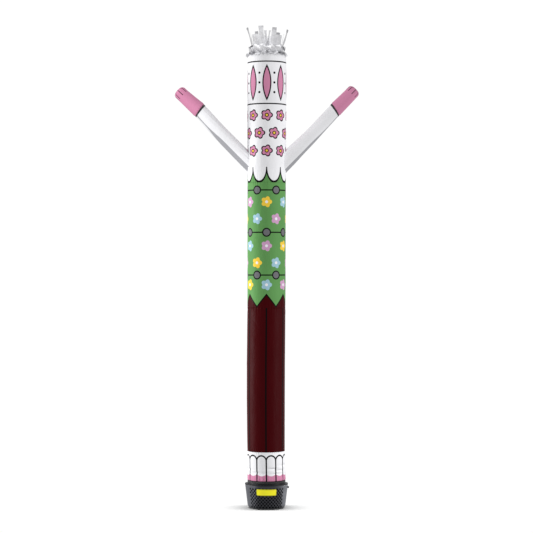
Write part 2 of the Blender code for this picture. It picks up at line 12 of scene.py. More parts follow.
import bmesh
import bpy
import numpy as np
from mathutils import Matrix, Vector

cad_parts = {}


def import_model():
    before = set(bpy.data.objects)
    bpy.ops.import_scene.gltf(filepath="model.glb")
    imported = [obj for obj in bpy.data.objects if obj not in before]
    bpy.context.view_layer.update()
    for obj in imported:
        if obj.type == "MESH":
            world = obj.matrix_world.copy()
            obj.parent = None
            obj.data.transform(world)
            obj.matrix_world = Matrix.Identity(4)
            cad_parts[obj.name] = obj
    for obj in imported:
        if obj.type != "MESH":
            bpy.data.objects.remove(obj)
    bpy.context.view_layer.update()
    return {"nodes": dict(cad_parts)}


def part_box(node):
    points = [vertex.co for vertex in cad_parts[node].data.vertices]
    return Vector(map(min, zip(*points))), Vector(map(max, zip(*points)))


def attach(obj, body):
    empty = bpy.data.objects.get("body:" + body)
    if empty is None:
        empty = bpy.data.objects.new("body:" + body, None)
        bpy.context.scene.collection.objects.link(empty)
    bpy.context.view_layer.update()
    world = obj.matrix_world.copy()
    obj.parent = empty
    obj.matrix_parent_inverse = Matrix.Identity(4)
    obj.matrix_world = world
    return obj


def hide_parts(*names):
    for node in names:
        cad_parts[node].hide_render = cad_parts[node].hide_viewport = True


UV_MAP = "metres"
BODY_NAME = "root"

# Camera: level, on the middle line, 21 m in front
CAMERA_PLACE = (0.0, -21.0, 2.876)
CAMERA_SENSOR = 36.0
CAMERA_LENS = 118.9

# Heights and radii on the tube
HEM_Z = 0.309
FOOT_SEAM_Z = 0.679
WAIST_SEAM_Z = 2.385
NECK_SEAM_Z = 3.870
SHOULDER_Z = 5.350
CROWN_Z = 5.412
HEM_RADIUS = 0.2235
VENT_RADIUS = 0.156
CROWN_SWAY = 0.005
CLOTH = 0.0012
TUBE_RADIUS = 0.2285
ROUND = 2 * math.pi * TUBE_RADIUS  # nominal way round the tube, which the prints divide

# The tube's profile: height, radius and sideways sway
PROFILE = np.array((
    (0.309, 0.2235, 0.000), (0.334, 0.2235, 0.000), (0.352, 0.2258, 0.000), (0.410, 0.2243, -0.001),
    (0.500, 0.2240, -0.002), (0.630, 0.2234, -0.004), (0.679, 0.2225, -0.005), (0.780, 0.2236, -0.006),
    (0.980, 0.2252, -0.007), (1.300, 0.2270, -0.008), (1.740, 0.2275, -0.007), (2.150, 0.2272, -0.003),
    (2.385, 0.2264, -0.001), (2.620, 0.2270, 0.000), (3.600, 0.2276, 0.001), (3.870, 0.2285, 0.002),
    (3.960, 0.2300, 0.002), (4.420, 0.2315, 0.003), (4.800, 0.2320, 0.004), (5.200, 0.2315, 0.005),
    (5.350, 0.2295, 0.005),
))

# Soft level troughs: azimuth, height, half angle, half height and depth
FOLDS = (
    (-32, 0.436, 26, 0.015, 0.0085), (-14, 0.422, 12, 0.010, 0.0040), (-58, 0.470, 22, 0.014, 0.0060),
    (20, 0.484, 18, 0.012, 0.0070), (44, 0.462, 20, 0.014, 0.0070), (34, 0.425, 24, 0.012, 0.0045),
    (66, 0.520, 24, 0.016, 0.0050), (150, 0.462, 46, 0.018, 0.0070), (-120, 0.540, 44, 0.024, 0.0060),
    (-165, 0.430, 24, 0.014, 0.0050), (20, WAIST_SEAM_Z, 60, 0.090, 0.0030), (-150, NECK_SEAM_Z, 60, 0.040, 0.0030),
)
FOLD_EDGE = 1.6  # how steep their sides are
COLUMNS = 168  # points round the tube
FINE_ROW = 0.006
COARSE_ROW = 0.017
FINE_REACH = 0.075  # rows are close together this near to a seam


# --- numbers over a surface, as shader nodes ---


def plug(socket, value):
    """Sets an input to a plain value, or links it to a field."""
    if isinstance(value, Field):
        value.tree.links.new(value.socket, socket)
    else:
        socket.default_value = value


def new_node(tree, kind, output=0, inputs=(), **settings):
    """One output of a new node with those inputs and settings, as a field."""
    node = tree.nodes.new("ShaderNode" + kind)
    for name, value in settings.items():
        setattr(node, name, value)
    for key, value in dict(inputs).items():
        plug(node.inputs[key], value)
    return Field(tree, node.outputs[output])


def tree_of(*values):
    """The tree of the first field among some values."""
    return next(value.tree for value in values if isinstance(value, Field))


def calc(operation, *values):
    """A field worked out by one Math node."""
    return new_node(tree_of(*values), "Math", inputs=enumerate(values), operation=operation)


class Field:
    """A number or colour that varies over a surface: an output of a node, with arithmetic."""

    def __init__(self, tree, socket):
        self.tree = tree
        self.socket = socket

    def __add__(self, other):
        return calc("ADD", self, other)

    def __sub__(self, other):
        return calc("SUBTRACT", self, other)

    def __rsub__(self, other):
        return calc("SUBTRACT", other, self)

    def __mul__(self, other):
        return calc("MULTIPLY", self, other)

    def __truediv__(self, other):
        return calc("DIVIDE", self, other)


def least(*values):
    """The smallest of several numbers: the union of shapes given by distance."""
    return reduce(lambda a, b: calc("MINIMUM", a, b), values)


def most(*values):
    """The largest of several numbers: what shapes given by distance share."""
    return reduce(lambda a, b: calc("MAXIMUM", a, b), values)


def size(value):
    """A number without its sign."""
    return calc("ABSOLUTE", value)


def far(x, y):
    """Distance of (x, y) from the origin."""
    return calc("SQRT", x * x + y * y)


def repeat(value, pitch):
    """The way from the middle of the nearest repeat, from minus to plus half a pitch."""
    return calc("WRAP", value, pitch / 2, -pitch / 2)


def ramp(value, start, end, low=0.0, high=1.0):
    """Runs smoothly from low to high as the value goes from start to end."""
    inputs = {"Value": value, "From Min": start, "From Max": end, "To Min": low, "To Max": high}
    return new_node(value.tree, "MapRange", "Result", inputs, interpolation_type="SMOOTHSTEP")


INK_EDGE = 0.0016  # softness of a print's edge, to either side


def inside(distance, edge=INK_EDGE):
    """1 where a distance is below 0 and 0 where it is above, with a soft edge."""
    return ramp(distance, -edge, edge, 1.0, 0.0)


def line(distance, width):
    """1 along the edge of a shape given by distance."""
    return inside(size(distance) - width / 2)


def coat(ground, colour, mask, blend="MIX"):
    """The ground with a colour laid over it where the mask is 1."""
    inputs = {"Factor": mask, 6: ground, 7: colour}
    return new_node(tree_of(mask, ground, colour), "Mix", 2, inputs, data_type="RGBA", blend_type=blend)


def shade(red, green, blue):
    """A display colour, 0 to 255, as the linear one that a shader takes."""
    linear = []
    for level in (red, green, blue):
        share = level / 255
        linear.append(share / 12.92 if share <= 0.04045 else ((share + 0.055) / 1.055) ** 2.4)
    return (*linear, 1.0)


WHITE = shade(240, 240, 243)
INK = shade(9, 9, 10)
MAROON = shade(63, 2, 6)
GREEN = shade(98, 152, 87)
PINK = shade(211, 138, 171)
YELLOW = shade(246, 206, 72)
SKY = shade(160, 198, 214)
LILAC = shade(206, 160, 196)
GREY = shade(112, 112, 116)
# Painted shade along the sleeves' flat underside, which faces down
UNDERSIDE_SHADE = shade(170, 170, 175)


# --- materials ---


def new_material(name):
    """A plain Principled material and its tree."""
    material = bpy.data.materials.new(name)
    material.use_nodes = True
    return material, material.node_tree


def dress(material, looks, height=None, depth=0.0):
    """Sets a material's looks, and its relief from a height field, where 1 is that depth."""
    tree = material.node_tree
    if height is not None:
        looks = {**looks, "Normal": new_node(tree, "Bump", "Normal", {"Distance": depth, "Height": height})}
    for key, value in looks.items():
        plug(tree.nodes["Principled BSDF"].inputs[key], value)
    return material


def split(vector):
    """The X, Y and Z of a vector."""
    first = new_node(vector.tree, "SeparateXYZ", 0, {"Vector": vector})
    return [Field(vector.tree, socket) for socket in first.socket.node.outputs]


def metres(tree):
    """The two fields of the UV map in metres."""
    return split(new_node(tree, "UVMap", "UV", uv_map=UV_MAP))[:2]


def place(tree, stretch=(1.0, 1.0, 1.0)):
    """The place in the object's own frame, stretched."""
    source = new_node(tree, "TexCoord", "Object")
    return new_node(tree, "Mapping", "Vector", {"Vector": source, "Scale": stretch})


def noise(vector, scale, detail=2.0):
    """Smooth random numbers about 0.5."""
    return new_node(vector.tree, "TexNoise", "Fac", {"Vector": vector, "Scale": scale, "Detail": detail})


def grey(value):
    """A number as a grey colour, to multiply by."""
    return new_node(value.tree, "CombineColor", "Color", {0: value, 1: value, 2: value})


STITCH_LENGTH = 0.0042
STITCH_PITCH = 0.0065
STITCH_WIDTH = 0.0012
STITCH_SIDE = 0.006  # of a row of stitches from its seam
THREAD_EDGE = 0.0004


def stitches(along, across):
    """A double row of stitches beside a seam at 0."""
    row = size(size(across) - STITCH_SIDE) - STITCH_WIDTH / 2
    dash = size(repeat(along, STITCH_PITCH)) - STITCH_LENGTH / 2
    return inside(most(row, dash), THREAD_EDGE)


RIPSTOP_PITCH = 0.0052
RIPSTOP_WIDTH = 0.0009


def ripstop(u, v):
    """The raised grid of thicker threads in the weave."""
    threads = least(size(repeat(u, RIPSTOP_PITCH)), size(repeat(v, RIPSTOP_PITCH)))
    return ramp(threads, 0.0, RIPSTOP_WIDTH, 1.0, 0.0)


NYLON_SHINE = 0.04
NYLON_RELIEF = 0.0035
FINE_CRUMPLES = 0.28  # heights as shares of the large crumples'
THREADS = 0.035
STITCHES = 0.12
STITCH_INK = 0.30  # darkness of the stitches


def nylon(name, paint, seams=(), back_seam=False):
    """Coated ripstop nylon with a print. Stitches run beside the seams, given by their V."""
    material, tree = new_material(name)
    u, v = metres(tree)
    sewn = [stitches(u, v - seam) for seam in seams]
    if back_seam:
        sewn.append(stitches(v, size(u) - ROUND / 2))
    cloud = ramp(noise(place(tree), 2.3, 3.0), 0.25, 0.75, 0.94, 1.03)
    ground = coat(paint(u, v), grey(cloud), 1.0, "MULTIPLY")
    crumple = noise(place(tree, (1.0, 1.0, 0.38)), 21.0, 3.0)
    fine = noise(place(tree, (1.0, 1.0, 0.7)), 64.0, 2.0)
    height = crumple + fine * FINE_CRUMPLES + ripstop(u, v) * THREADS
    if sewn:
        thread = most(*sewn)
        ground = coat(ground, INK, thread * STITCH_INK)
        height = height + thread * STITCHES
    roughness = ramp(crumple, 0.2, 0.8, 0.36, 0.46)
    looks = {"Base Color": ground, "Roughness": roughness, "Specular IOR Level": NYLON_SHINE}
    return dress(material, looks, height, NYLON_RELIEF)


# --- the prints ---


OUTLINE = 0.0150

# The head
HEAD_REPEATS = 8  # lozenges, blossoms and scallops round it
LOZENGE_Z = 5.050
LOZENGE_HALF_WIDTH = 0.046
LOZENGE_HALF_HEIGHT = 0.200
DOT_ROWS = (5.165, 5.050, 4.935)
DOT_RADIUS = 0.014
RULES = (5.300, 4.800)  # heights of level lines
HEAD_BLOSSOM_ROWS = ((4.665, 0), (4.455, 1), (4.245, 0))  # height, and 1 where shifted by half a pitch
EYE_RADIUS = 0.019  # of a blossom's middle
EYE_OUTLINE = 0.7 * OUTLINE
LOBE_LOW_Z = 3.878
LOBE_TOP_Z = 4.045

# Blossoms
BLOSSOM_RADIUS = 0.066
BLOSSOM_WAIST = 0.30  # depth of the notches, as a share of the radius
PETALS = 5

# The chest
POINTS = 6  # of the zigzag, and of every row of blossoms
POINT_LOW_Z = 2.400
POINT_TOP_Z = 2.545
BLOSSOM_ROWS = ((3.640, 0), (3.440, 1), (3.120, 0), (2.920, 1), (2.660, 0))
HEART_RADIUS = 0.017  # of a blossom's middle
BEAD_ROWS = ((3.780, 1), (3.280, 0), (2.775, 1))
BEAD_RADIUS = 0.046

# The leg and the foot
PIPINGS = 6
BROAD_OUTLINE = 1.2 * OUTLINE
ARCHES = 12
ARCH_TOP_Z = 0.640
PINK_HEM_Z = 0.398
PINK_HEM_BOW = 7.0  # rise of its scallops' sides
INK_HEM_Z = HEM_Z + 0.030

# The arms
# The strip of painted shade on a sleeve's underside: where it narrows, and its half widths there
UNDERSIDE_SHADE_NARROWS = (0.45, 0.78)  # distances along the sleeve
UNDERSIDE_SHADE_HALF_WIDTHS = (0.044, 0.012)
HAND_ROUND = 0.54
HAND_STROKES = 8
STROKE_START = 0.262
STROKE_HALF_WIDTH = 0.0045


def outlined(ground, colour, distance, width=OUTLINE):
    """The ground with a shape on it, filled with a colour and drawn round with ink."""
    return coat(coat(ground, colour, inside(distance)), INK, line(distance, width))


def lobe_distance(u, v):
    """Below 0 within the white scallops that hang from the head over the green."""
    radius = ROUND / HEAD_REPEATS / 2
    across = repeat(u + radius, 2 * radius)
    down = least(v - LOBE_TOP_Z, 0.0) * (radius / (LOBE_TOP_Z - LOBE_LOW_Z))
    return least(far(across, down) - radius, LOBE_TOP_Z - v)


def blossom_distance(x, y):
    """Below 0 within a round-petalled blossom."""
    petal = size(calc("COSINE", calc("ARCTAN2", y, x) * (PETALS / 2)))
    return far(x, y) - (petal * BLOSSOM_WAIST + (1.0 - BLOSSOM_WAIST)) * BLOSSOM_RADIUS


def lozenge_distance(x, y):
    """Below 0 within a tall lozenge with bowed sides: what two round discs share."""
    radius = (LOZENGE_HALF_WIDTH**2 + LOZENGE_HALF_HEIGHT**2) / (2 * LOZENGE_HALF_WIDTH)
    return far(size(x) + (radius - LOZENGE_HALF_WIDTH), y) - radius


def paint_head(u, v):
    """White with tall pink lozenges, rows of pink blossoms and a scalloped edge over green."""
    pitch = ROUND / HEAD_REPEATS
    ground = outlined(WHITE, PINK, lozenge_distance(repeat(u, pitch), v - LOZENGE_Z))
    between = repeat(u + pitch / 2, pitch)
    for z in DOT_ROWS:
        ground = coat(ground, INK, inside(far(between, v - z) - DOT_RADIUS))
    for z in RULES:
        ground = coat(ground, INK, line(v - z, OUTLINE))
    for z, odd in HEAD_BLOSSOM_ROWS:
        x = repeat(u + pitch / 2 * odd, pitch)
        y = v - z
        ground = outlined(ground, PINK, blossom_distance(x, y))
        ground = outlined(ground, YELLOW, far(x, y) - EYE_RADIUS, EYE_OUTLINE)
    return outlined(ground, GREEN, lobe_distance(u, v) * -1.0)


def paint_chest(u, v):
    """Green with staggered blossoms, bead borders and a zigzag edge over maroon."""
    pitch = ROUND / POINTS
    ground = GREEN
    for row, (z, odd) in enumerate(BLOSSOM_ROWS):
        shifted = u + pitch / 2 * odd
        x = repeat(shifted, pitch)
        y = v - z
        turn = calc("WRAP", calc("ROUND", shifted / pitch) + float(row), 3.0, 0.0)
        colour = coat(YELLOW, SKY, line(turn - 1.0, 1.0))
        colour = coat(colour, LILAC, line(turn - 2.0, 1.0))
        ground = coat(ground, colour, inside(blossom_distance(x, y)))
        ground = coat(ground, WHITE, inside(far(x, y) - HEART_RADIUS))
    for z, odd in BEAD_ROWS:
        ground = coat(ground, INK, line(v - z, OUTLINE))
        ground = outlined(ground, GREY, far(repeat(u + pitch / 2 * odd, pitch), v - z) - BEAD_RADIUS)
    rise = (POINT_TOP_Z - POINT_LOW_Z) / (pitch / 2)
    lean = 1.0 / math.hypot(1.0, rise)
    return outlined(ground, MAROON, (v - POINT_TOP_Z + size(repeat(u, pitch)) * rise) * lean)


def paint_leg(u, v):
    """Maroon with upright black pipings."""
    return coat(MAROON, INK, line(repeat(u, ROUND / PIPINGS), BROAD_OUTLINE))


def paint_foot(u, v):
    """White with a row of outlined arches on a scalloped pink hem."""
    pitch = ROUND / ARCHES
    across = repeat(u + pitch / 2, pitch)
    arch = far(across, most(v - (ARCH_TOP_Z - pitch / 2), 0.0)) - pitch / 2
    ground = coat(WHITE, PINK, inside(v - PINK_HEM_Z - across * across * PINK_HEM_BOW))
    ground = coat(ground, INK, line(arch, BROAD_OUTLINE) * inside(v - ARCH_TOP_Z - OUTLINE))
    return coat(ground, INK, inside(v - INK_HEM_Z))


def paint_sleeve(u, v):
    """White, with painted shade in a grey strip along the flat underside."""
    return coat(WHITE, UNDERSIDE_SHADE, inside(size(u) - ramp(v, *UNDERSIDE_SHADE_NARROWS, *UNDERSIDE_SHADE_HALF_WIDTHS)))


def paint_hand(u, v):
    """Pink with short black strokes at the tip."""
    across = size(repeat(u, HAND_ROUND / HAND_STROKES)) - STROKE_HALF_WIDTH
    return coat(PINK, INK, inside(most(across, STROKE_START - v)))


# --- materials without a print ---


RIB_TURNS = 1900.0  # of the ribs' wave, in radians for each metre
RIB_SLANT = 1500.0
HERRINGBONE_PITCH = 0.008


def webbing(name):
    """Black woven webbing with a herringbone of ribs."""
    material, tree = new_material(name)
    u, v = metres(tree)
    rib = calc("SINE", u * RIB_TURNS + size(repeat(v, HERRINGBONE_PITCH)) * RIB_SLANT)
    ground = coat(shade(14, 14, 15), shade(34, 34, 36), ramp(rib, -1.0, 1.0))
    return dress(material, {"Base Color": ground, "Roughness": 0.62, "Sheen Weight": 0.15}, rib, 0.0004)


# Tones of ribbons and hems, which are added to their V: painted light, the plain white, painted shade and deeper
# painted shade
PAINTED_LIGHT_TONE = 0.0
PLAIN_TONE = 1.0
PAINTED_SHADE_TONE = 2.0
DEEP_PAINTED_SHADE_TONE = 3.0


def sheer_nylon(name):
    """Thin white nylon that lets some light through, in four tones: plain, a lighter one that is painted light, and
    two darker ones that are painted shade.
    """
    material, tree = new_material(name)
    u, v = metres(tree)
    cloud = noise(place(tree), 34.0, 3.0)
    patches = ramp(cloud, 0.3, 0.7)
    # The tone of painted light, with the plain tone and the two tones of painted shade laid over it
    ground = coat(shade(232, 232, 235), shade(250, 250, 252), patches)
    plain = coat(shade(218, 218, 221), shade(242, 242, 246), patches)
    tones = ((PLAIN_TONE, plain), (PAINTED_SHADE_TONE, shade(200, 200, 204)), (DEEP_PAINTED_SHADE_TONE, shade(132, 132, 136)))
    for tone, colour in tones:
        ground = coat(ground, colour, inside(tone - 0.5 - v))
    looks = {"Base Color": ground, "Roughness": 0.35, "Alpha": 0.82}
    return dress(material, looks, cloud + ripstop(u, v) * 0.05, 0.004)


FOOT_SHADE_LEFT = 0.25  # share of the colour and shine kept at the drum's foot, under painted shade
FOOT_SHADE_HEIGHTS = (0.008, 0.050)
SHADED_MIDDLE_X = 0.030  # of the part of the front with painted shade
MESH_SHADE_ENDS = (0.120, 0.180)  # distances from that middle


def moulded_plastic(name, dark, light, mesh_shade=1.0, shine=0.5):
    """Moulded plastic with a fine texture, scuffed in places, with painted shade (darker and less shiny) near the
    ground and across the middle of the perforated front.
    """
    material, tree = new_material(name)
    grain = noise(place(tree), 900.0)
    dust = noise(place(tree), 9.0, 5.0)
    x, _, z = split(new_node(tree, "TexCoord", "Object"))
    # Painted shade: darker and less shiny towards the ground and across the middle of the perforated front
    unshaded = ramp(z, *FOOT_SHADE_HEIGHTS, FOOT_SHADE_LEFT, 1.0)
    unshaded = unshaded * ramp(size(x - SHADED_MIDDLE_X), *MESH_SHADE_ENDS, mesh_shade, 1.0)
    looks = {
        "Base Color": coat(INK, coat(dark, light, ramp(dust, 0.45, 0.80)), unshaded),
        "Specular IOR Level": unshaded * shine,
        "Roughness": ramp(dust, 0.3, 0.8, 0.34, 0.48),
    }
    return dress(material, looks, grain, 0.0006)


def painted_steel(name):
    """Black painted sheet steel."""
    material, tree = new_material(name)
    mottle = noise(place(tree), 40.0, 3.0)
    ground = coat(shade(5, 5, 6), shade(11, 11, 12), mottle)
    roughness = ramp(mottle, 0.3, 0.7, 0.50, 0.65)
    return dress(material, {"Base Color": ground, "Roughness": roughness, "Specular IOR Level": 0.04})


def plate_film(name):
    """Plain yellow film, a little faded, with a thin dark border."""
    material, tree = new_material(name)
    u, v = metres(tree)
    fade = noise(place(tree), 18.0, 3.0)
    ground = coat(shade(255, 250, 6), shade(255, 240, 16), ramp(fade, 0.4, 0.7))
    half_width = PLATE_HALF_WIDTH - PLATE_MARGIN
    half_height = PLATE_HALF_HEIGHT - PLATE_MARGIN
    ground = coat(ground, INK, line(most(size(u) - half_width, size(v) - half_height), PLATE_BORDER))
    return dress(material, {"Base Color": ground, "Roughness": 0.38}, fade, 0.0006)


# --- meshes ---


def spread(*arrays):
    """Points out of arrays of their coordinates, each stretched over the others."""
    return np.stack(np.broadcast_arrays(*arrays), -1)


def grid_mesh(name, points, uv, closed):
    """A smooth mesh of quads through rows of points, closed round or open, with its UV map in metres."""
    rows, columns = points.shape[:2]
    spans = columns if closed else columns - 1
    start = np.arange(rows - 1)[:, None] * columns
    here = np.arange(spans)[None, :]
    after = (here + 1) % columns
    corners = (start + here, start + after, start + columns + after, start + columns + here)
    faces = np.stack(corners, -1).reshape(-1, 4)
    spots = (uv[:-1, :spans], uv[:-1, 1 : spans + 1], uv[1:, 1 : spans + 1], uv[1:, :spans])
    mesh = bpy.data.meshes.new(name)
    mesh.from_pydata(points.reshape(-1, 3).tolist(), [], faces.tolist())
    layer = mesh.uv_layers.new(name=UV_MAP)
    layer.uv.foreach_set("vector", np.stack(spots, 2).ravel().astype(np.float32))
    mesh.shade_smooth()
    return mesh


def new_object(name, data):
    """An object in the scene."""
    thing = bpy.data.objects.new(name, data)
    bpy.context.scene.collection.objects.link(thing)
    return thing


def add_piece(name, mesh, material, node):
    """Puts a mesh in the scene on the object's one body, in place of a CAD node."""
    piece = new_object(name, mesh)
    mesh.materials.append(material)
    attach(piece, BODY_NAME)
    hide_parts(node)
    return piece


def thicken(piece, thickness=CLOTH):
    """Gives a sheet its thickness, inwards."""
    modifier = piece.modifiers.new("thickness", "SOLIDIFY")
    modifier.thickness = thickness
    modifier.offset = -1
    modifier.use_even_offset = True
    return piece


AZIMUTHS = (-180 + 360 * np.arange(COLUMNS) / COLUMNS)[None, :]  # of points round the tube from the back seam


def turned(azimuth, radius, z, sway=0.0):
    """Points at azimuths in degrees, distances from the axis and heights."""
    angle = np.radians(azimuth)
    return spread(sway + radius * np.sin(angle), -radius * np.cos(angle), z)


def flattened(wave, power):
    """A sine or cosine held near its ends, which turns a ring into a flat band with rounded edges."""
    return np.sign(wave) * np.abs(wave) ** power


# --- the tube ---


def bell(value):
    """1 at 0, dying away to either side."""
    return np.exp(-value * value)


def turn_between(azimuth, middle):
    """The turn from one azimuth to another, from -180 to 180."""
    return (azimuth - middle + 180) % 360 - 180


def fold_depth(azimuth, z):
    """Depth of the soft level troughs."""
    depth = 0.0
    for middle, height, half_angle, half_height, deep in FOLDS:
        across = (turn_between(azimuth, middle) / half_angle) ** 2 + ((z - height) / half_height) ** 2
        depth = depth + deep * np.exp(-FOLD_EDGE * across)
    return depth


HEM_PLEATS = 31
GATHER_RISE = (0.332, 0.352)  # heights over which the gathers start, above the strap
GATHER_FADE = 0.035
GATHER_DEPTH = 0.0042
SEAM_WAVES = 44
SEAM_PUCKER = 0.0022
SEAM_REACH = 0.042
SEAM_WAIST = 0.0018  # how far a seam draws the cloth in
SEAM_WAIST_REACH = 0.03
SEAM_RIDGE = 0.0016
SEAM_RIDGE_REACH = 0.006
RIPPLE_STEPS = (-5, -2, 0, 3, 7)  # waves more or fewer, of the sines that a ripple is made of
RIPPLE_SUM = 2.6


def ripple(azimuth, waves, seed):
    """An uneven ripple round the tube, of about that many waves."""
    chance = random.Random(seed)
    total = 0.0
    for step in RIPPLE_STEPS:
        phase = chance.uniform(0, 2 * math.pi)
        total = total + np.sin(np.radians(azimuth) * (waves + step) + phase)
    return total / RIPPLE_SUM


def hem_gathers(azimuth, z):
    """Cloth bunched up over the strap, dying away above it."""
    start, full = GATHER_RISE
    above = np.clip((z - start) / (full - start), 0, 1)
    fade = np.exp(-np.clip(z - full, 0, None) / GATHER_FADE)
    return GATHER_DEPTH * above * fade * ripple(azimuth, HEM_PLEATS, 3)


def seam_pucker(azimuth, z, seam, seed):
    """Short upright wrinkles where a seam draws the cloth in, and the seam's own low ridge."""
    away = np.abs(z - seam)
    waves = SEAM_PUCKER * ripple(azimuth, SEAM_WAVES, seed) * np.exp(-away / SEAM_REACH)
    return waves - SEAM_WAIST * np.exp(-away / SEAM_WAIST_REACH) + SEAM_RIDGE * bell(away / SEAM_RIDGE_REACH)


LONG_CREASES = 70


def long_creases(azimuth, z):
    """Faint creases along the cloth, upright or a little aslant."""
    chance = random.Random(11)
    total = np.zeros(np.broadcast(azimuth, z).shape)
    for _ in range(LONG_CREASES):
        middle = chance.uniform(-180, 180)
        height = chance.uniform(0.45, 5.3)
        lean = math.radians(chance.gauss(0, 24))
        half_length = chance.uniform(0.07, 0.26)
        half_width = chance.uniform(0.008, 0.020)
        depth = chance.uniform(0.0006, 0.0020) * chance.choice((1, -1))
        x = np.radians(turn_between(azimuth, middle)) * TUBE_RADIUS
        y = z - height
        along = x * math.sin(lean) + y * math.cos(lean)
        across = x * math.cos(lean) - y * math.sin(lean)
        total += depth * bell(across / half_width) * np.exp(-((along / half_length) ** 4))
    return total


ARM_ROOT_RADIUS = 0.10
ARM_ROOT_TALL = 1.25  # height of a sleeve's hole over its width
ARM_CREASE_REACH = 0.10
ARM_CREASES = 13
ARM_CREASE_DEPTH = 0.0030


def arm_pull(azimuth, z):
    """Wrinkles that fan out from the arms' roots."""
    total = 0.0
    for side, arm in ARMS.items():
        middle = 90 if side == "right" else -90
        x = np.radians(turn_between(azimuth, middle)) * TUBE_RADIUS
        y = z - arm["mouth_z"]
        away = np.sqrt(x * x + (y / ARM_ROOT_TALL) ** 2)
        turn = np.degrees(np.arctan2(y, x))
        fade = np.exp(-np.clip(away - ARM_ROOT_RADIUS, 0, None) / ARM_CREASE_REACH)
        fade = fade * np.clip(away / ARM_ROOT_RADIUS, 0, 1)
        total = total + ARM_CREASE_DEPTH * fade * (ripple(turn, ARM_CREASES, 21 + middle) - fade)
    return total


SEAMS = (FOOT_SEAM_Z, WAIST_SEAM_Z, NECK_SEAM_Z)
CREASE_RISE = (0.335, 0.385)  # heights over which the long creases start


def tube_relief(azimuth, z):
    """How far the cloth stands out from its plain profile."""
    relief = hem_gathers(azimuth, z) - fold_depth(azimuth, z) + arm_pull(azimuth, z)
    for seed, seam in enumerate(SEAMS, 31):
        relief = relief + seam_pucker(azimuth, z, seam, seed)
    start, full = CREASE_RISE
    return relief + long_creases(azimuth, z) * np.clip((z - start) / (full - start), 0, 1)


def tube_radius(z):
    """The plain tube's radius at a height."""
    return np.interp(z, PROFILE[:, 0], PROFILE[:, 1])


def tube_sway(z):
    """How far the tube's middle lies towards +X at a height."""
    return np.interp(z, PROFILE[:, 0], PROFILE[:, 2])


def row_heights(low, high):
    """Heights of a panel's rows, close together near its ends and on the creased foot."""
    heights = [low]
    while heights[-1] < high:
        near = min(heights[-1] - low, high - heights[-1])
        fine = near < FINE_REACH or heights[-1] < FOOT_SEAM_Z
        heights.append(heights[-1] + (FINE_ROW if fine else COARSE_ROW))
    heights[-1] = high
    if heights[-1] - heights[-2] < FINE_ROW / 2:
        del heights[-2]
    return np.array(heights)


def panel_uv(z):
    """UV of rows round the tube, with a column more than they have points."""
    across = ROUND * (np.arange(COLUMNS + 1) / COLUMNS - 0.5)
    return spread(across[None, :], z)


def panel_grid(low, high):
    """Points and UV of one panel of the tube."""
    z = row_heights(low, high)[:, None]
    radius = tube_radius(z) + tube_relief(AZIMUTHS, z)
    return turned(AZIMUTHS, radius, z, tube_sway(z)), panel_uv(z)


CROWN_ROWS = 18
CROWN_PLEATS = 34
CROWN_PLEAT_DEPTH = 0.0042
CROWN_PLEAT_LIFT = 0.6  # of a pleat's height, as a share of its depth
CROWN_REACH = 0.09  # of the drawn-in cloth, from the shoulder to the vent


def crown_grid():
    """Points and UV of the drawn-in top of the head, from the shoulder to the vent."""
    turn = np.linspace(0, math.pi / 2, CROWN_ROWS + 1)[1:, None]
    radius = VENT_RADIUS + (tube_radius(SHOULDER_Z) - VENT_RADIUS) * np.cos(turn)
    z = SHOULDER_Z + (CROWN_Z - SHOULDER_Z) * np.sin(turn)
    pleats = ripple(AZIMUTHS, CROWN_PLEATS, 5) * CROWN_PLEAT_DEPTH * np.sin(turn) ** 1.5
    shoulder = tube_relief(AZIMUTHS, np.array([[SHOULDER_Z]])) * np.cos(turn)
    points = turned(AZIMUTHS, radius + pleats + shoulder, z + pleats * CROWN_PLEAT_LIFT, CROWN_SWAY)
    return points, panel_uv(SHOULDER_Z + CROWN_REACH * turn / (math.pi / 2))


HOLE_SHARE = 0.8  # of a sleeve's radius


def cut_arm_holes(mesh):
    """Opens the head's cloth inside the sleeves."""
    bm = bmesh.new()
    bm.from_mesh(mesh)
    doomed = []
    for side, arm in ARMS.items():
        start = arm_point(side, 0.0)
        direction = (arm_point(side, 0.2) - start).normalized()
        for face in bm.faces:
            offset = face.calc_center_median() - start
            along = offset.dot(direction)
            if along > 0 and (offset - direction * along).length < HOLE_SHARE * arm["radii"][0]:
                doomed.append(face)
    bmesh.ops.delete(bm, geom=doomed, context="FACES")
    bm.to_mesh(mesh)
    bm.free()


def add_panel(part, low, high, paint, slot):
    """One panel of the tube as a sheet of cloth. The topmost is drawn in, with a hole for each arm."""
    name = f"{part}_cloth"
    points, uv = panel_grid(low, high)
    if high == SHOULDER_Z:
        top_points, top_uv = crown_grid()
        points = np.concatenate((points, top_points))
        uv = np.concatenate((uv, top_uv))
    mesh = grid_mesh(name, points, uv, closed=True)
    if high == SHOULDER_Z:
        cut_arm_holes(mesh)
    seams = [z for z in (low, high) if z in SEAMS]
    material = nylon(f"{name}_nylon", paint, seams, back_seam=True)
    return thicken(add_piece(name, mesh, material, f"{part}_panel"))


# --- the arms ---


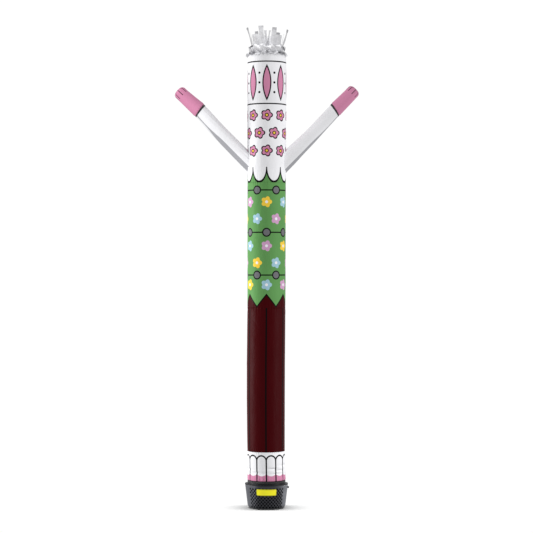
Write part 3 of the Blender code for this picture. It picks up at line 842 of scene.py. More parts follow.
# Each arm's middle line as X and Z, its radius at those points, where it meets the tube, the slant of its wrist seam
# and the angle of its flat underside
ARMS = {
    "right": {
        "x": (0.150, 0.280, 0.519, 0.822, 0.835, 1.066),
        "z": (4.054, 4.183, 4.419, 4.747, 4.760, 4.992),
        "radii": (0.0990, 0.0985, 0.0860, 0.0815, 0.0865, 0.0745),
        "mouth_z": 4.138,
        "skew": 14,
        "keel_angle": 22,
    },
    "left": {
        "x": (-0.150, -0.316, -0.555, -0.797, -0.810, -1.062),
        "z": (4.061, 4.227, 4.472, 4.738, 4.750, 4.976),
        "radii": (0.0936, 0.0932, 0.0905, 0.0845, 0.0915, 0.0735),
        "mouth_z": 4.142,
        "skew": 9,
        "keel_angle": 36,
    },
}
WRIST = 3  # the wrist's place in those tables
KEEL_DEPTH = 0.87
ARM_COLUMNS = 72
ARM_ANGLES = 360 * np.arange(ARM_COLUMNS) / ARM_COLUMNS - 90
ARM_SHARES = np.arange(ARM_COLUMNS + 1) / ARM_COLUMNS  # of the way round an arm, at every column's edge
SKEW_REACH = 0.14
TIP_LENGTH = 0.045
TIP_BLUNTNESS = 0.62
BEND_REACH = 0.05


def arm_distances(side):
    """Distance of each point of the table from the first."""
    arm = ARMS[side]
    steps = np.hypot(np.diff(arm["x"]), np.diff(arm["z"]))
    return np.concatenate(([0.0], np.cumsum(steps)))


def arm_point(side, distance):
    """The middle line's point at a distance from its start."""
    arm = ARMS[side]
    along = arm_distances(side)
    return Vector((np.interp(distance, along, arm["x"]), 0.0, np.interp(distance, along, arm["z"])))


def arm_axes(side, distance):
    """The middle line's point at a distance, and the direction across it that is down and outwards."""
    ends = arm_distances(side)
    way = 1 if side == "right" else -1
    before = arm_point(side, max(distance - BEND_REACH, 0.0))
    after = arm_point(side, min(distance + BEND_REACH, ends[-1]))
    near = max(0.0, 1.0 - abs(distance - ends[WRIST]) / SKEW_REACH)
    turn = math.atan2(after.x - before.x, after.z - before.z) + way * near * math.radians(ARMS[side]["skew"])
    return arm_point(side, distance), Vector((way * abs(math.cos(turn)), 0.0, -abs(math.sin(turn))))


def keeled(angle, side):
    """A sleeve's distance from its middle line as a share of its radius: round, but flat below."""
    turn = np.radians(angle - ARMS[side]["keel_angle"])
    lean = np.maximum(np.cos(turn), 0.5)
    return np.where(np.cos(turn) > KEEL_DEPTH, KEEL_DEPTH / lean, 1.0)


def arm_ring(side, distance, reach):
    """A ring of points round the middle line. Angle 0 is down and outwards, and 90 is the front."""
    angle = np.radians(ARM_ANGLES)
    middle, down = arm_axes(side, distance)
    front = np.array((0.0, -1.0, 0.0))
    across = np.cos(angle)[:, None] * np.array(down) + np.sin(angle)[:, None] * front
    return np.array(middle) + across * np.broadcast_to(reach, angle.shape)[:, None]


# Creases: depth, waves round the arm and reach along it
ROOT_CREASES = (0.0042, 13, 0.07)
WRIST_CREASES = (0.0034, 19, 0.05)
SLEEVE_WAVES = (0.0018, 7, 0.05)  # these die away towards the wrist
ROOT_END = 0.16  # how far along the arm the root's creases keep their full depth
WAVE_TURN = 60  # of the waves round the arm, in degrees for each metre


def creases(kind, away, seed):
    """Creases all round an arm, in full depth up to a place and dying away beyond it."""
    depth, waves, reach = kind
    return depth * math.exp(-max(away, 0.0) / reach) * ripple(ARM_ANGLES, waves, seed)


def sleeve_reach(side, distance, grow=0.0):
    """Distances of a sleeve's cloth from the middle line, all round."""
    ends = arm_distances(side)
    wrist = ends[WRIST]
    radius = np.interp(distance, ends, ARMS[side]["radii"])
    flat = 1.0 - min(max(distance / wrist, 0.0), 1.0) ** 2
    reach = radius * (1 + (keeled(ARM_ANGLES, side) - 1) * flat) + grow
    reach = reach + creases(ROOT_CREASES, distance - ROOT_END, 41) + creases(WRIST_CREASES, wrist - distance, 43)
    depth, waves, fade = SLEEVE_WAVES
    turning = ripple(ARM_ANGLES + WAVE_TURN * distance, waves, 47 if side == "right" else 53)
    return reach + depth * turning * (1 - math.exp(-max(wrist - distance, 0.0) / fade))


ROOT_LIMIT = 0.55  # along an arm, where all of it is out of the tube
HALVINGS = 26


def meets_tube(ring):
    """For each column of a sleeve, the distance along the arm at which it leaves the tube's cloth."""
    low = np.zeros(ARM_COLUMNS)
    high = np.full(ARM_COLUMNS, ROOT_LIMIT)
    for _ in range(HALVINGS):
        middle = (low + high) / 2
        points = np.stack([ring(distance)[i] for i, distance in enumerate(middle)])
        z = points[:, 2]
        azimuth = np.degrees(np.arctan2(points[:, 0] - tube_sway(z), -points[:, 1]))
        wall = tube_radius(z) + tube_relief(azimuth, z)
        out = np.hypot(points[:, 0] - tube_sway(z), points[:, 1]) > wall - CLOTH
        high = np.where(out, middle, high)
        low = np.where(out, low, middle)
    return high


def add_arm_piece(name, side, rows, uv, material, node):
    """A sheet round an arm, from rings of points along it."""
    points = np.array(rows)
    uv = np.array(uv)
    if side == "right":  # its rings run the other way round
        points = points[:, ::-1]
        uv = uv[:, ::-1]
    mesh = grid_mesh(f"{name}_{side}", points, uv, closed=True)
    return add_piece(f"{name}_{side}", mesh, material, f"{node}_{side}")


SLEEVE_ROWS = 64
SLEEVE_ROUND = 0.57


def add_sleeve(side, material):
    """One white sleeve, from where it leaves the tube to the wrist."""
    wrist = arm_distances(side)[WRIST]

    def ring(distance):
        return arm_ring(side, distance, sleeve_reach(side, distance))

    roots = meets_tube(ring)
    around = SLEEVE_ROUND * (ARM_SHARES - 0.25 - ARMS[side]["keel_angle"] / 360)  # from the flat underside's middle
    rows = []
    uv = []
    for share in np.linspace(0, 1, SLEEVE_ROWS + 1) ** 1.25:
        distances = roots + (wrist - roots) * share
        rows.append([ring(distance)[i] for i, distance in enumerate(distances)])
        uv.append(spread(around, np.append(distances, distances[0])))
    return thicken(add_arm_piece("sleeve_cloth", side, rows, uv, material, "sleeve"))


HAND_ROWS = 34
TIP_ROWS = 14
TIP_SHARE = 0.995  # of the way to the middle line, where the tip is sewn shut
TIP_GATHER = 0.03  # of cloth, over the rounded tip
TIP_PLEATS = (0.045, 9, 0.05)  # depth as a share of the radius, waves and reach
HEEL_CREASES = (0.0034, 17, 0.045)


def hand_reach(side, distance, share):
    """Distances of a hand's cloth from the middle line; share runs from 0 to 1 over the rounded tip."""
    ends = arm_distances(side)
    radius = np.interp(distance, ends, ARMS[side]["radii"])
    reach = radius * (1 + creases(TIP_PLEATS, ends[-1] - TIP_LENGTH - distance, 61))
    reach = reach + creases(HEEL_CREASES, distance - ends[WRIST], 67)
    return reach * math.cos(math.pi / 2 * share) ** TIP_BLUNTNESS


def add_hand(side, material):
    """One pink hand, from the wrist to its closed and gathered tip."""
    ends = arm_distances(side)
    distances = list(np.linspace(ends[WRIST], ends[-1] - TIP_LENGTH, HAND_ROWS))
    shares = [0.0] * HAND_ROWS
    for step in range(1, TIP_ROWS + 1):
        turn = math.pi / 2 * step / TIP_ROWS
        distances.append(ends[-1] - TIP_LENGTH + TIP_LENGTH * math.sin(turn))
        shares.append(step / TIP_ROWS * TIP_SHARE)
    rows = [arm_ring(side, d, hand_reach(side, d, s)) for d, s in zip(distances, shares)]
    along = np.array(distances) - ends[WRIST]
    along[-TIP_ROWS:] += TIP_GATHER * (np.arange(TIP_ROWS) + 1) / TIP_ROWS
    uv = spread(HAND_ROUND * (ARM_SHARES - 0.25)[None, :], along[:, None])
    return thicken(add_arm_piece("hand_cloth", side, rows, uv, material, "hand"))


BINDING_WIDTH = 0.021
BINDING_THICKNESS = 0.0018
BINDING_STEPS = 12
BINDING_GROUND = 0.0008  # height of its middle over the sleeve
BINDING_RADIUS = 0.083
BINDING_V = 0.006  # metres of V for each radian across it


def add_binding(side, material):
    """The black band round the wrist seam."""
    wrist = arm_distances(side)[WRIST]
    turns = np.linspace(0, 2 * math.pi, BINDING_STEPS + 1)
    rows = []
    for turn in turns:
        distance = wrist - BINDING_WIDTH / 2 + BINDING_WIDTH / 2 * math.cos(turn)
        grow = BINDING_GROUND + BINDING_THICKNESS * flattened(math.sin(turn), 0.5)
        rows.append(arm_ring(side, distance, sleeve_reach(side, distance, grow)))
    uv = spread(2 * math.pi * BINDING_RADIUS * ARM_SHARES[None, :], (turns * BINDING_V)[:, None])
    return add_arm_piece("wrist_binding", side, rows[::-1], uv[::-1], material, "cuff")


# --- the fringe ---


HEADING_RADIUS = 0.1605
HEADING_HEIGHT = 0.036
HEADING_PLEAT = 0.0030
RIBBON_WIDTH = 0.062
RIBBON_TIP_WIDTH = 0.058
RIBBON_HEM = 0.030
RIBBON_ROWS = 24
RIBBON_COLUMNS = 7

# Each ribbon's azimuth, its slant from upright at the root and at the tip, its length, its twist to one side, and its
# lean along the rim
UPRIGHT = (
    (24, 6, 12, 0.272, 4, 2), (339, 5, 11, 0.290, -4, 0),
)
BLADES = (
    (84, 24, 13, 0.274, 12, 0), (276, 13, 17, 0.294, -8, 0),
)
SHORT = (
    (42, 5, 11, 0.214, -4, 3), (318, 4, 9, 0.228, 4, 0),
)
CUT = (
    (2, 2, 6, 0.236, 66, -6), (358, 2, 5, 0.232, -74, 10), (62, 5, 8, 0.190, 6, 0),
    (298, 4, 8, 0.200, -6, 0), (95, 10, 12, 0.220, 0, 0), (120, 8, 14, 0.196, 20, 0),
    (146, 4, 12, 0.206, -10, 0), (168, 6, 12, 0.216, 8, 2), (181, 3, 8, 0.166, -6, 0),
    (194, 3, 12, 0.222, -6, -2), (216, 5, 12, 0.212, 8, 0), (241, 7, 14, 0.200, -20, 0),
    (264, 8, 10, 0.236, 0, 0),
)
PUFFED = (
    (6, 96, -52, 0.112, 18, 4), (22, 100, -60, 0.126, -20, -5), (38, 92, -48, 0.118, 26, 3),
    (56, 98, -56, 0.122, -24, 6), (72, 94, -40, 0.108, 30, -4), (130, 96, -50, 0.115, 20, 0),
    (175, 98, -50, 0.118, -18, 0), (228, 94, -52, 0.112, -24, 0), (289, 96, -42, 0.110, -28, 4),
    (305, 98, -58, 0.124, 22, -6), (322, 92, -50, 0.116, -24, 4), (338, 100, -60, 0.128, 20, 5),
    (352, 94, -54, 0.104, -22, -4),
)
DROOPING = (
    (10, 60, 160, 0.082, 16, 4), (30, 74, 168, 0.088, -30, -6), (52, 76, 160, 0.092, 36, 8),
    (74, 84, 166, 0.098, -46, 4), (97, 100, 176, 0.078, 62, 0), (118, 60, 150, 0.085, -30, 0),
    (150, 50, 140, 0.095, 20, 0), (185, 52, 140, 0.090, 25, 0), (222, 60, 150, 0.085, -25, 0),
    (262, 100, 176, 0.080, -62, 0), (285, 84, 166, 0.098, 48, -6), (306, 76, 162, 0.094, -40, 0),
    (328, 72, 168, 0.090, 30, 6), (350, 64, 160, 0.084, -20, -4),
)
STUBS = (
    (66, 50, 56, 0.080, 84, 0), (294, 34, 38, 0.090, -84, 0), (68, 92, 150, 0.052, -60, 10),
    (292, 92, 150, 0.050, 60, -10),
)
UPRIGHT_ROOT = (HEADING_RADIUS, CROWN_Z + 0.026)
DROOPING_ROOT = (0.1592, CROWN_Z + 0.010)
FLUTTER = 0.003  # of an upright ribbon at its tip
CRUMPLE = 0.009  # of a short one
RIBBON_BOW = 0.007  # the most that a ribbon is bowed across
TWIST_RATE = 2.2  # of the twist's rise along a ribbon
SWING_WAVE = (9, 1.6)  # radians along and across it


def ribbon_strip(azimuth, root_slant, tip_slant, length, twist, lean, root, flutter, chance):
    """Points of one ribbon: rows from root to tip, bowed across, twisted and fluttering."""
    radius, z = root
    bow = chance.uniform(-RIBBON_BOW, RIBBON_BOW)
    phase = chance.uniform(0, 2 * math.pi)
    angle = math.radians(azimuth)
    outward = np.array((math.sin(angle), -math.cos(angle), 0.0))
    sideways = np.array((math.cos(angle), math.sin(angle), 0.0))
    upright = np.array((0.0, 0.0, 1.0))
    centre = np.array((CROWN_SWAY, 0.0, z)) + outward * radius
    step = length / RIBBON_ROWS
    across = np.linspace(-1, 1, RIBBON_COLUMNS)
    rows = []
    for i in range(RIBBON_ROWS + 1):
        share = i / RIBBON_ROWS
        slant = math.radians(root_slant + (tip_slant - root_slant) * share)
        normal = outward * math.cos(slant) - upright * math.sin(slant)
        half = (RIBBON_WIDTH + (RIBBON_TIP_WIDTH - RIBBON_WIDTH) * share) / 2
        turn = math.radians(twist * min(1.0, TWIST_RATE * share))
        side = sideways * math.cos(turn) + normal * math.sin(turn)
        face = normal * math.cos(turn) - sideways * math.sin(turn)
        swing = flutter * share * np.sin(phase + SWING_WAVE[0] * share + SWING_WAVE[1] * across)
        lift = bow * share * (1 - across * across) + swing
        rows.append(centre + half * across[:, None] * side + lift[:, None] * face)
        forward = outward * math.sin(slant) + upright * math.cos(slant)
        centre = centre + step * (forward + sideways * math.tan(math.radians(lean)))
    return np.array(rows)


def strip_uv(strip):
    """UV of a ribbon's strip, in metres from its root."""
    along = np.linalg.norm(np.diff(strip[:, 0], axis=0), axis=1)
    v = np.concatenate(([0.0], np.cumsum(along)))
    u = np.linspace(-RIBBON_WIDTH / 2, RIBBON_WIDTH / 2, strip.shape[1])
    return spread(u[None, :], v[:, None])


HEM_OFFSET = 0.0008


def hem_strip(strip, offset):
    """The turned-up end of a ribbon: its last rows again, a hair's breadth off."""
    length = np.linalg.norm(strip[-1, 0] - strip[-2, 0])
    count = max(2, round(RIBBON_HEM / length) + 1)
    end = strip[-count:]
    normal = np.cross(end[-1, 1] - end[-1, 0], end[-1, 0] - end[-2, 0])
    normal /= np.linalg.norm(normal)
    return end + normal * offset


def join_meshes(name, meshes):
    """One mesh out of several, with their UV maps."""
    pieces = [new_object(name, mesh) for mesh in meshes]
    with bpy.context.temp_override(active_object=pieces[0], selected_editable_objects=pieces):
        bpy.ops.object.join()
    mesh = pieces[0].data
    bpy.data.objects.remove(pieces[0])
    return mesh


def heading_mesh():
    """The gathered band round the vent that the ribbons are cut from."""
    height = np.linspace(0, HEADING_HEIGHT, 7)[:, None]
    pleats = ripple(AZIMUTHS, CROWN_PLEATS, 5) * HEADING_PLEAT
    points = turned(AZIMUTHS, HEADING_RADIUS + pleats, CROWN_Z + height, CROWN_SWAY)
    # The heading is in the tone of painted shade
    return grid_mesh("heading", points, panel_uv(PAINTED_SHADE_TONE + height), closed=True)


def add_fringe(material):
    """The heading with its upright and drooping ribbons."""
    chance = random.Random(23)
    meshes = [heading_mesh()]
    # Each group's ribbons, roots, flutter, tone and hems' tone: the grey and dark tones are painted shade, the bright
    # one painted light
    groups = (
        (UPRIGHT, UPRIGHT_ROOT, FLUTTER, PLAIN_TONE, PLAIN_TONE),
        (BLADES, UPRIGHT_ROOT, FLUTTER, PAINTED_SHADE_TONE, PAINTED_SHADE_TONE),
        (SHORT, UPRIGHT_ROOT, FLUTTER, PLAIN_TONE, PAINTED_SHADE_TONE),
        (CUT, UPRIGHT_ROOT, FLUTTER, PLAIN_TONE, None),
        (PUFFED, DROOPING_ROOT, CRUMPLE, PAINTED_LIGHT_TONE, None),
        (DROOPING, DROOPING_ROOT, CRUMPLE, PAINTED_SHADE_TONE, None),
        (STUBS, DROOPING_ROOT, CRUMPLE, PAINTED_LIGHT_TONE, DEEP_PAINTED_SHADE_TONE),
    )
    for ribbons, root, flutter, tone, hem_tone in groups:
        for ribbon in ribbons:
            strip = ribbon_strip(*ribbon, root, flutter, chance)
            meshes.append(grid_mesh("ribbon", strip, strip_uv(strip) + tone, closed=False))
            for offset in (HEM_OFFSET, -HEM_OFFSET) if hem_tone is not None else ():
                hem = hem_strip(strip, offset)
                meshes.append(grid_mesh("ribbon_hem", hem, strip_uv(hem) + hem_tone, closed=False))
    mesh = join_meshes("crown_ribbons", meshes)
    return add_piece("crown_ribbons", mesh, material, "crown_fringe")


# --- the strap ---


STRAP_LOW_Z = 0.310
STRAP_WIDTH = 0.022
STRAP_THICKNESS = 0.002
STRAP_END = (150, 214)  # azimuths of the overlapped end, at the back
STRAP_INNER = HEM_RADIUS + 0.0003
STRAP_OVER = STRAP_INNER + STRAP_THICKNESS + 0.0002  # of that end
STRAP_SIDES = 16


def strap_mesh(first, last, inner, columns):
    """A flat band round the hem with rounded edges, from one azimuth to another."""
    azimuth = np.linspace(first, last, columns)[None, :]
    turns = np.linspace(0, 2 * math.pi, STRAP_SIDES + 1)[:, None]
    across = flattened(np.cos(turns), 0.35) * STRAP_WIDTH / 2
    out = (1 + flattened(np.sin(turns), 0.6)) * STRAP_THICKNESS / 2
    points = turned(azimuth, inner + out, STRAP_LOW_Z + STRAP_WIDTH / 2 + across)
    uv = spread(np.radians(azimuth) * HEM_RADIUS, across)
    return grid_mesh("strap", points[::-1], uv[::-1], closed=False)


def add_strap(material):
    """The webbing round the hem, and its end laid over it at the back."""
    meshes = [strap_mesh(-180, 180, STRAP_INNER, COLUMNS + 1), strap_mesh(*STRAP_END, STRAP_OVER, 40)]
    mesh = join_meshes("webbing_strap", meshes)
    return add_piece("webbing_strap", mesh, material, "hem_strap")


# --- the blower ---


DRUM_TOP_Z = 0.288
DRUM_TOP_RADIUS = 0.2560
DRUM_LOW_Z = 0.048
DRUM_LOW_RADIUS = 0.2270
DRUM_SLOPE = (DRUM_TOP_RADIUS - DRUM_LOW_RADIUS) / (DRUM_TOP_Z - DRUM_LOW_Z)
FOOT_RADIUS = 0.180
DRUM_WALL = 0.004
FOOT_STEPS = 8
LEAST_STEP = 0.003  # between the foot's last ring and the mesh
MESH_COLUMNS = 36
MESH_ROWS = 11
MESH_LOW_Z = 0.0096
MESH_PITCH_Z = 0.02123
MESH_HALF_ANGLE = 51  # of the perforated part, front and back
MESH_BACK_LOW_Z = 0.055  # the back's holes stop at this height
HOLE_RADIUS = 0.0124
RIM_BEVEL = 0.0006


def drum_radius(z):
    """The drum's outer radius: a straight taper on a rounded foot."""
    if z >= DRUM_LOW_Z:
        return DRUM_LOW_RADIUS + DRUM_SLOPE * (z - DRUM_LOW_Z)
    depth = min((DRUM_LOW_Z - z) / DRUM_LOW_Z, 1.0)
    return FOOT_RADIUS + (DRUM_LOW_RADIUS - FOOT_RADIUS) * math.sqrt(1 - depth * depth)


def drum_point(column, z):
    """A point of the drum's outer face. A column is one pitch of the mesh, from the middle of the front."""
    angle = 2 * math.pi * column / MESH_COLUMNS
    radius = drum_radius(z)
    return Vector((radius * math.sin(angle), -radius * math.cos(angle), z))


def perforated(column, z):
    """Whether a cell of the drum has an air hole."""
    azimuth = abs(turn_between(360 * column / MESH_COLUMNS, 0))
    at_back = 180 - azimuth < MESH_HALF_ANGLE and z > MESH_BACK_LOW_Z
    return azimuth < MESH_HALF_ANGLE or at_back


class Welder:
    """Makes a bmesh in which points given twice are one vertex."""

    def __init__(self, bm):
        self.bm = bm
        self.made = {}

    def vert(self, point):
        """The vertex at a point."""
        key = tuple(round(x, 5) for x in point)
        if key not in self.made:
            self.made[key] = self.bm.verts.new(point)
        return self.made[key]

    def face(self, points):
        """A face through points, unless it has no area."""
        verts = [self.vert(point) for point in points]
        if len(set(verts)) == len(verts) and len(verts) > 2:
            self.bm.faces.new(verts)


DIAMOND_CORNERS = ((0.0, -1.0), (0.5, 0.0), (0.0, 1.0), (-0.5, 0.0))  # shares of a column and of a row
SIDE_STEPS = 4  # parts of each side of a diamond
HOLE_SIDES = 4 * SIDE_STEPS


def diamond():
    """Points round a diamond of the mesh from its lowest corner."""
    points = []
    for i, (x, y) in enumerate(DIAMOND_CORNERS):
        next_x, next_y = DIAMOND_CORNERS[(i + 1) % 4]
        for step in range(SIDE_STEPS):
            share = step / SIDE_STEPS
            points.append((x + (next_x - x) * share, y + (next_y - y) * share))
    return points


DIAMOND = diamond()


def add_cell(welder, column, z, holed):
    """One diamond of the drum's wall, with a round hole or filled."""
    rim = [drum_point(column + across, z + up * MESH_PITCH_Z) for across, up in DIAMOND]
    if not holed:
        centre = drum_point(column, z)
        for i in range(0, HOLE_SIDES, 2):
            welder.face((rim[i], rim[i + 1], centre, rim[i - 1]))
        return
    pitch = 2 * math.pi * drum_radius(z) / MESH_COLUMNS
    hole = []
    for i in range(HOLE_SIDES):
        turn = math.radians(360 * i / HOLE_SIDES - 90)
        hole.append(drum_point(column + HOLE_RADIUS / pitch * math.cos(turn), z + HOLE_RADIUS * math.sin(turn)))
    for i in range(HOLE_SIDES):
        j = (i + 1) % HOLE_SIDES
        welder.face((rim[i], rim[j], hole[j], hole[i]))


def add_edge_cell(welder, column, z, up):
    """The half diamond between two cells of the lowest or the highest row."""
    shares = [step / SIDE_STEPS for step in range(SIDE_STEPS + 1)]
    points = [(-share / 2, share) for share in shares] + [(0.0, 1.0)]
    points += [(share / 2, share) for share in reversed(shares[1:])]
    welder.face([drum_point(column + across, z + up * share * MESH_PITCH_Z) for across, share in points])


def drum_mesh():
    """The perforated drum's outer face, with its rounded foot and flat underside."""
    bm = bmesh.new()
    welder = Welder(bm)
    mesh_top_z = MESH_LOW_Z + (MESH_ROWS + 1) * MESH_PITCH_Z
    for row in range(MESH_ROWS):
        z = MESH_LOW_Z + (row + 1) * MESH_PITCH_Z
        for i in range(MESH_COLUMNS):
            column = i + (0.5 if row % 2 else 0.0)
            add_cell(welder, column, z, perforated(column, z))
            if row == 0:
                add_edge_cell(welder, column + 0.5, z, -1)
            if row == MESH_ROWS - 1:
                add_edge_cell(welder, column + 0.5, z, 1)
    foot = [DRUM_LOW_Z * (1 - math.cos(math.radians(90 * i / FOOT_STEPS))) for i in range(FOOT_STEPS + 1)]
    bottom = [*[z for z in foot if z < MESH_LOW_Z - LEAST_STEP], MESH_LOW_Z]
    top = [mesh_top_z, (mesh_top_z + DRUM_TOP_Z) / 2, DRUM_TOP_Z]
    for i in range(2 * MESH_COLUMNS):
        a, b = i / 2, (i + 1) / 2
        for heights in (bottom, top):
            for low, high in zip(heights, heights[1:]):
                welder.face((drum_point(a, low), drum_point(b, low), drum_point(b, high), drum_point(a, high)))
        welder.face((drum_point(a, 0.0), Vector((0, 0, 0)), drum_point(b, 0.0)))
    bmesh.ops.recalc_face_normals(bm, faces=bm.faces)
    mesh = bpy.data.meshes.new("drum_shell")
    bm.to_mesh(mesh)
    bm.free()
    mesh.shade_smooth()
    mesh.set_sharp_from_angle(angle=math.radians(35))
    return mesh


def add_drum(material, inner_shade_material):
    """The drum with its wall's thickness, and its inner face in the duct's near-black steel as painted shade inside
    it.
    """
    piece = add_piece("drum_shell", drum_mesh(), material, "blower_drum")
    piece.data.materials.append(inner_shade_material)
    thicken(piece, DRUM_WALL)
    piece.modifiers["thickness"].material_offset = 1
    bevel = piece.modifiers.new("soft edges", "BEVEL")
    bevel.width = RIM_BEVEL
    bevel.segments = 1
    bevel.limit_method = "ANGLE"
    bevel.angle_limit = math.radians(50)
    return piece


def turned_grid(profile, count):
    """Points and UV of a turned piece: a profile of (radius, z) points."""
    radius, z = np.array(profile).T[:, :, None]
    shares = np.linspace(0, 1, count + 1)[None, :]
    return turned(360 * shares[:, :-1], radius, z), spread(2 * math.pi * radius * shares, z)


ROUND_STEPS = 4


def rounded(corner, before, after, radius):
    """Points of a small round between two straight runs that meet at a corner."""
    corner = Vector(corner)
    start = corner + (Vector(before) - corner).normalized() * radius
    end = corner + (Vector(after) - corner).normalized() * radius
    points = []
    for i in range(ROUND_STEPS + 1):
        t = i / ROUND_STEPS
        points.append(tuple((1 - t) ** 2 * start + 2 * t * (1 - t) * corner + t * t * end))
    return points


LID_THICKNESS = 0.007
LID_LIP = 0.006  # height of its turned-down edge
LID_LIP_WALL = 0.0012
LID_CHAMFER = (0.006, 0.002)
COLLAR_RADIUS = HEM_RADIUS - 0.0026
COLLAR_WALL = 0.004
COLLAR_TOP_Z = 0.332
LID_ROUND = 0.0015
LIP_ROUND = 0.0005


def add_lid(material):
    """The lid with a rolled edge and the collar that the tube fits over."""
    low = DRUM_TOP_Z + 0.0003
    top = low + LID_THICKNESS
    edge = DRUM_TOP_RADIUS + 0.0004
    corners = [
        (COLLAR_RADIUS - COLLAR_WALL, low),
        (COLLAR_RADIUS - COLLAR_WALL, COLLAR_TOP_Z),
        (COLLAR_RADIUS, COLLAR_TOP_Z),
        (COLLAR_RADIUS, top),
        (edge - LID_CHAMFER[0], top),
        (edge, top - LID_CHAMFER[1]),
        (edge, low - LID_LIP),
        (edge - LID_LIP_WALL, low - LID_LIP),
        (edge - LID_LIP_WALL, low),
    ]
    profile = []
    for i, corner in enumerate(corners):
        after = corners[(i + 1) % len(corners)]
        profile += rounded(corner, corners[i - 1], after, LIP_ROUND if i >= 6 else LID_ROUND)
    profile.append(profile[0])
    points, uv = turned_grid(profile[::-1], COLUMNS)
    mesh = grid_mesh("lid_moulding", points, uv, closed=True)
    return add_piece("lid_moulding", mesh, material, "blower_lid")


PLATE_HALF_ANGLE = 28.0
PLATE_LOW_Z = 0.171
PLATE_TOP_Z = 0.245
PLATE_HALF_WIDTH = 0.120
PLATE_HALF_HEIGHT = (PLATE_TOP_Z - PLATE_LOW_Z) / 2
PLATE_CORNER = 0.010
PLATE_OUT = 0.0021  # of its face from the drum's
PLATE_THICKNESS = 0.0015
PLATE_MARGIN = 0.005
PLATE_BORDER = 0.0022
PLATE_COLUMNS = 49
PLATE_ROWS = 9


def add_plate(material):
    """The bare plate bent round the drum's front, with round corners."""
    u = np.linspace(-PLATE_HALF_WIDTH, PLATE_HALF_WIDTH, PLATE_COLUMNS)[None, :]
    past = np.clip(np.abs(u) - (PLATE_HALF_WIDTH - PLATE_CORNER), 0, None)
    half = PLATE_HALF_HEIGHT - PLATE_CORNER + np.sqrt(PLATE_CORNER**2 - past**2)
    v = np.linspace(-1, 1, PLATE_ROWS)[:, None] * half
    z = (PLATE_LOW_Z + PLATE_TOP_Z) / 2 + v
    points = turned(u / PLATE_HALF_WIDTH * PLATE_HALF_ANGLE, np.vectorize(drum_radius)(z) + PLATE_OUT, z)
    mesh = grid_mesh("plate_film", points, spread(u, v), closed=False)
    return thicken(add_piece("plate_film", mesh, material, "front_plate"), PLATE_THICKNESS)


STUD_PROFILE = (  # distances from its axis and from the drum
    (0.0, 0.0178), (0.0060, 0.0176), (0.0095, 0.0164), (0.0118, 0.0140), (0.0124, 0.0110),
    (0.0118, 0.0082), (0.0100, 0.0066), (0.0098, 0.0040), (0.0132, 0.0030), (0.0138, 0.0002),
)


def add_stud(material):
    """The stud on the drum's right side: a neck and a round head."""
    low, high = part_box("side_stud")
    z = (low.z + high.z) / 2
    normal = Vector((1.0, 0.0, -DRUM_SLOPE)).normalized()
    points, uv = turned_grid(STUD_PROFILE, 40)
    turn = normal.to_track_quat("Z", "Y").to_matrix()
    points = points @ np.array(turn).T + np.array((drum_radius(z), 0.0, z))
    mesh = grid_mesh("stud_knob", points[::-1], uv[::-1], closed=True)
    return add_piece("stud_knob", mesh, material, "side_stud")


# --- the stage ---


def add_camera():
    """The camera of the photo."""
    camera = bpy.data.cameras.new("camera")
    camera.sensor_width = CAMERA_SENSOR
    camera.lens = CAMERA_LENS
    camera.clip_end = 200.0
    holder = new_object("camera", camera)
    holder.location = CAMERA_PLACE
    holder.rotation_euler = (math.pi / 2, 0.0, 0.0)
    bpy.context.scene.camera = holder


def add_light(name, location, look_at, power, sides, only=(), never=(), shaded_by=()):
    """A box light. It may light only some objects or never light some, and some may be all that shades it."""
    light = bpy.data.lights.new(name, "AREA")
    light.energy = power
    light.shape = "RECTANGLE"
    light.size, light.size_y = sides
    holder = new_object(name, light)
    holder.location = location
    aim = Vector(look_at) - Vector(location)
    holder.rotation_euler = aim.to_track_quat("-Z", "Y").to_euler()
    holder.visible_camera = False
    links = ((only, "receiver", "INCLUDE"), (never, "receiver", "EXCLUDE"), (shaded_by, "blocker", "INCLUDE"))
    for objects, role, state in links:
        if not objects:
            continue
        group = bpy.data.collections.new(f"{role}s of {name}")
        for thing in objects:
            group.objects.link(thing)
        for entry in group.collection_objects:
            entry.light_linking.link_state = state
        setattr(holder.light_linking, f"{role}_collection", group)


SKY_LIGHT = 0.65
SEEN_SKY = 1.02  # a little over white, as the camera sees it


def add_world():
    """White to look at, and a softer light on the object."""
    world = bpy.data.worlds.new("studio")
    world.use_nodes = True
    bpy.context.scene.world = world
    background = world.node_tree.nodes["Background"]
    background.inputs["Color"].default_value = (1.0, 1.0, 1.0, 1.0)
    seen = new_node(world.node_tree, "LightPath", "Is Camera Ray")
    plug(background.inputs["Strength"], seen * (SEEN_SKY - SKY_LIGHT) + SKY_LIGHT)


FLOOR_HALF = 2.4
FLOOR_Z = -0.0005  # just under the drum


def add_floor():
    """White paper that shows only the object's soft shadow."""
    mesh = bpy.data.meshes.new("floor")
    corners = [(x * FLOOR_HALF, y * FLOOR_HALF, 0) for x, y in ((-1, -1), (1, -1), (1, 1), (-1, 1))]
    mesh.from_pydata(corners, [], [(0, 1, 2, 3)])
    material, tree = new_material("floor_paper")
    ground = coat(shade(136, 136, 136), shade(138, 138, 138), noise(place(tree), 60.0))
    mesh.materials.append(dress(material, {"Base Color": ground, "Roughness": 0.9, "Specular IOR Level": 0.0}))
    floor = new_object("floor", mesh)
    floor.location.z = FLOOR_Z
    floor.visible_diffuse = False
    floor.visible_glossy = False
    return floor


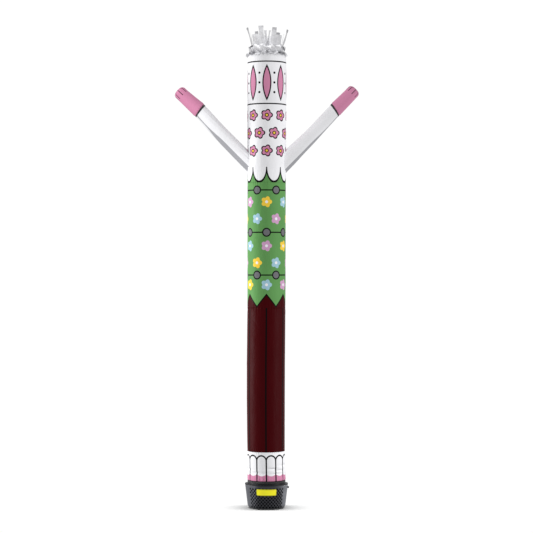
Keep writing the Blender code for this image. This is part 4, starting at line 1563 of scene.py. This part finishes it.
def add_stage(fringe, foot, left, right, blower):
    """The camera, the paper and the lights. The left and right arms and the blower are lists of pieces."""
    add_camera()
    add_world()
    floor = add_floor()
    arms = (*left, *right)
    middle = (0.0, 0.0, 2.6)
    right_arm = (0.6, 0.0, 4.5)
    add_light("left_box", (-7.00, 0.50, 3.4), middle, 560, (2.2, 7.0), never=(floor, fringe, *arms))
    add_light("right_box", (6.60, -2.40, 2.8), middle, 235, (2.2, 7.0), never=(floor, fringe, foot, *arms))
    add_light("foot_box", (2.7, -1.0, 4.6), (0.0, 0.0, 0.5), 215, (1.0, 1.0), only=(foot,))
    add_light("top_box", (-0.8, -1.5, 11.0), (0.0, 0.0, 5.4), 330, (2.2, 2.2), only=(fringe,))
    add_light("left_arm_box", (-4.0, -4.4, 2.0), (-0.7, 0.0, 4.6), 160, (2.0, 2.0), only=left)
    add_light("right_arm_high_box", (-3.2, -1.6, 8.4), right_arm, 90, (2.0, 2.0), only=arms, shaded_by=arms)
    add_light("right_arm_low_box", (4.4, -2.8, 1.4), right_arm, 70, (2.0, 2.0), only=right)
    add_light("drum_box", (2.5, 0.9, 0.6), (0.0, 0.0, 0.2), 60, (1.0, 1.0), only=blower[:1])
    above = (0.0, 0.0, 20.0)
    add_light("floor_strip", above, (0.0, 0.0, 0.0), 26000, (50.0, 5.0), only=(floor,), shaded_by=blower)
    bpy.context.scene.view_settings.view_transform = "Standard"


# --- the whole ---


# Each panel's lowest and highest point, its print and its slot
PANELS = {
    "foot": (HEM_Z, FOOT_SEAM_Z, paint_foot, "white_cloth"),
    "leg": (FOOT_SEAM_Z, WAIST_SEAM_Z, paint_leg, "maroon_cloth"),
    "chest": (WAIST_SEAM_Z, NECK_SEAM_Z, paint_chest, "green_cloth"),
    "head": (NECK_SEAM_Z, SHOULDER_Z, paint_head, "white_cloth"),
}


def main():
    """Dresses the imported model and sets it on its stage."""
    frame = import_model()

    panels = {part: add_panel(part, *row) for part, row in PANELS.items()}
    white = nylon("sleeve_nylon", paint_sleeve)
    pink = nylon("hand_nylon", paint_hand)
    black = webbing("black_webbing_weave")
    sleeves = {side: add_sleeve(side, white) for side in ARMS}
    hands = {side: add_hand(side, pink) for side in ARMS}
    bindings = {side: add_binding(side, black) for side in ARMS}
    fringe = add_fringe(sheer_nylon("ribbon_nylon"))
    strap = add_strap(black)

    # The duct's black steel, also laid on the drum's inner face as painted shade
    steel_and_inner_shade = painted_steel("duct_steel_and_drum_inner_shade")
    # 0.56 is the share of colour and shine that the drum keeps under the painted shade across its front
    drum = add_drum(moulded_plastic("drum_plastic", shade(67, 69, 76), shade(85, 87, 95), 0.56), steel_and_inner_shade)
    # The lid is the drum's black plastic, painted darker and given less shine as shade under the tube's hem
    lid = add_lid(moulded_plastic("lid_plastic_painted_shade", shade(26, 27, 30), shade(40, 41, 45), shine=0.22))
    plate = add_plate(plate_film("plate_yellow"))
    add_stud(moulded_plastic("stud_plastic", shade(5, 5, 6), shade(10, 10, 11), shine=0.10))
    duct = frame["nodes"]["fan_duct"]
    duct.data.materials.clear()
    duct.data.materials.append(steel_and_inner_shade)

    left, right = ((sleeves[side], hands[side], bindings[side]) for side in ("left", "right"))
    add_stage(fringe, panels["foot"], left, right, (drum, lid, plate, duct))


main()
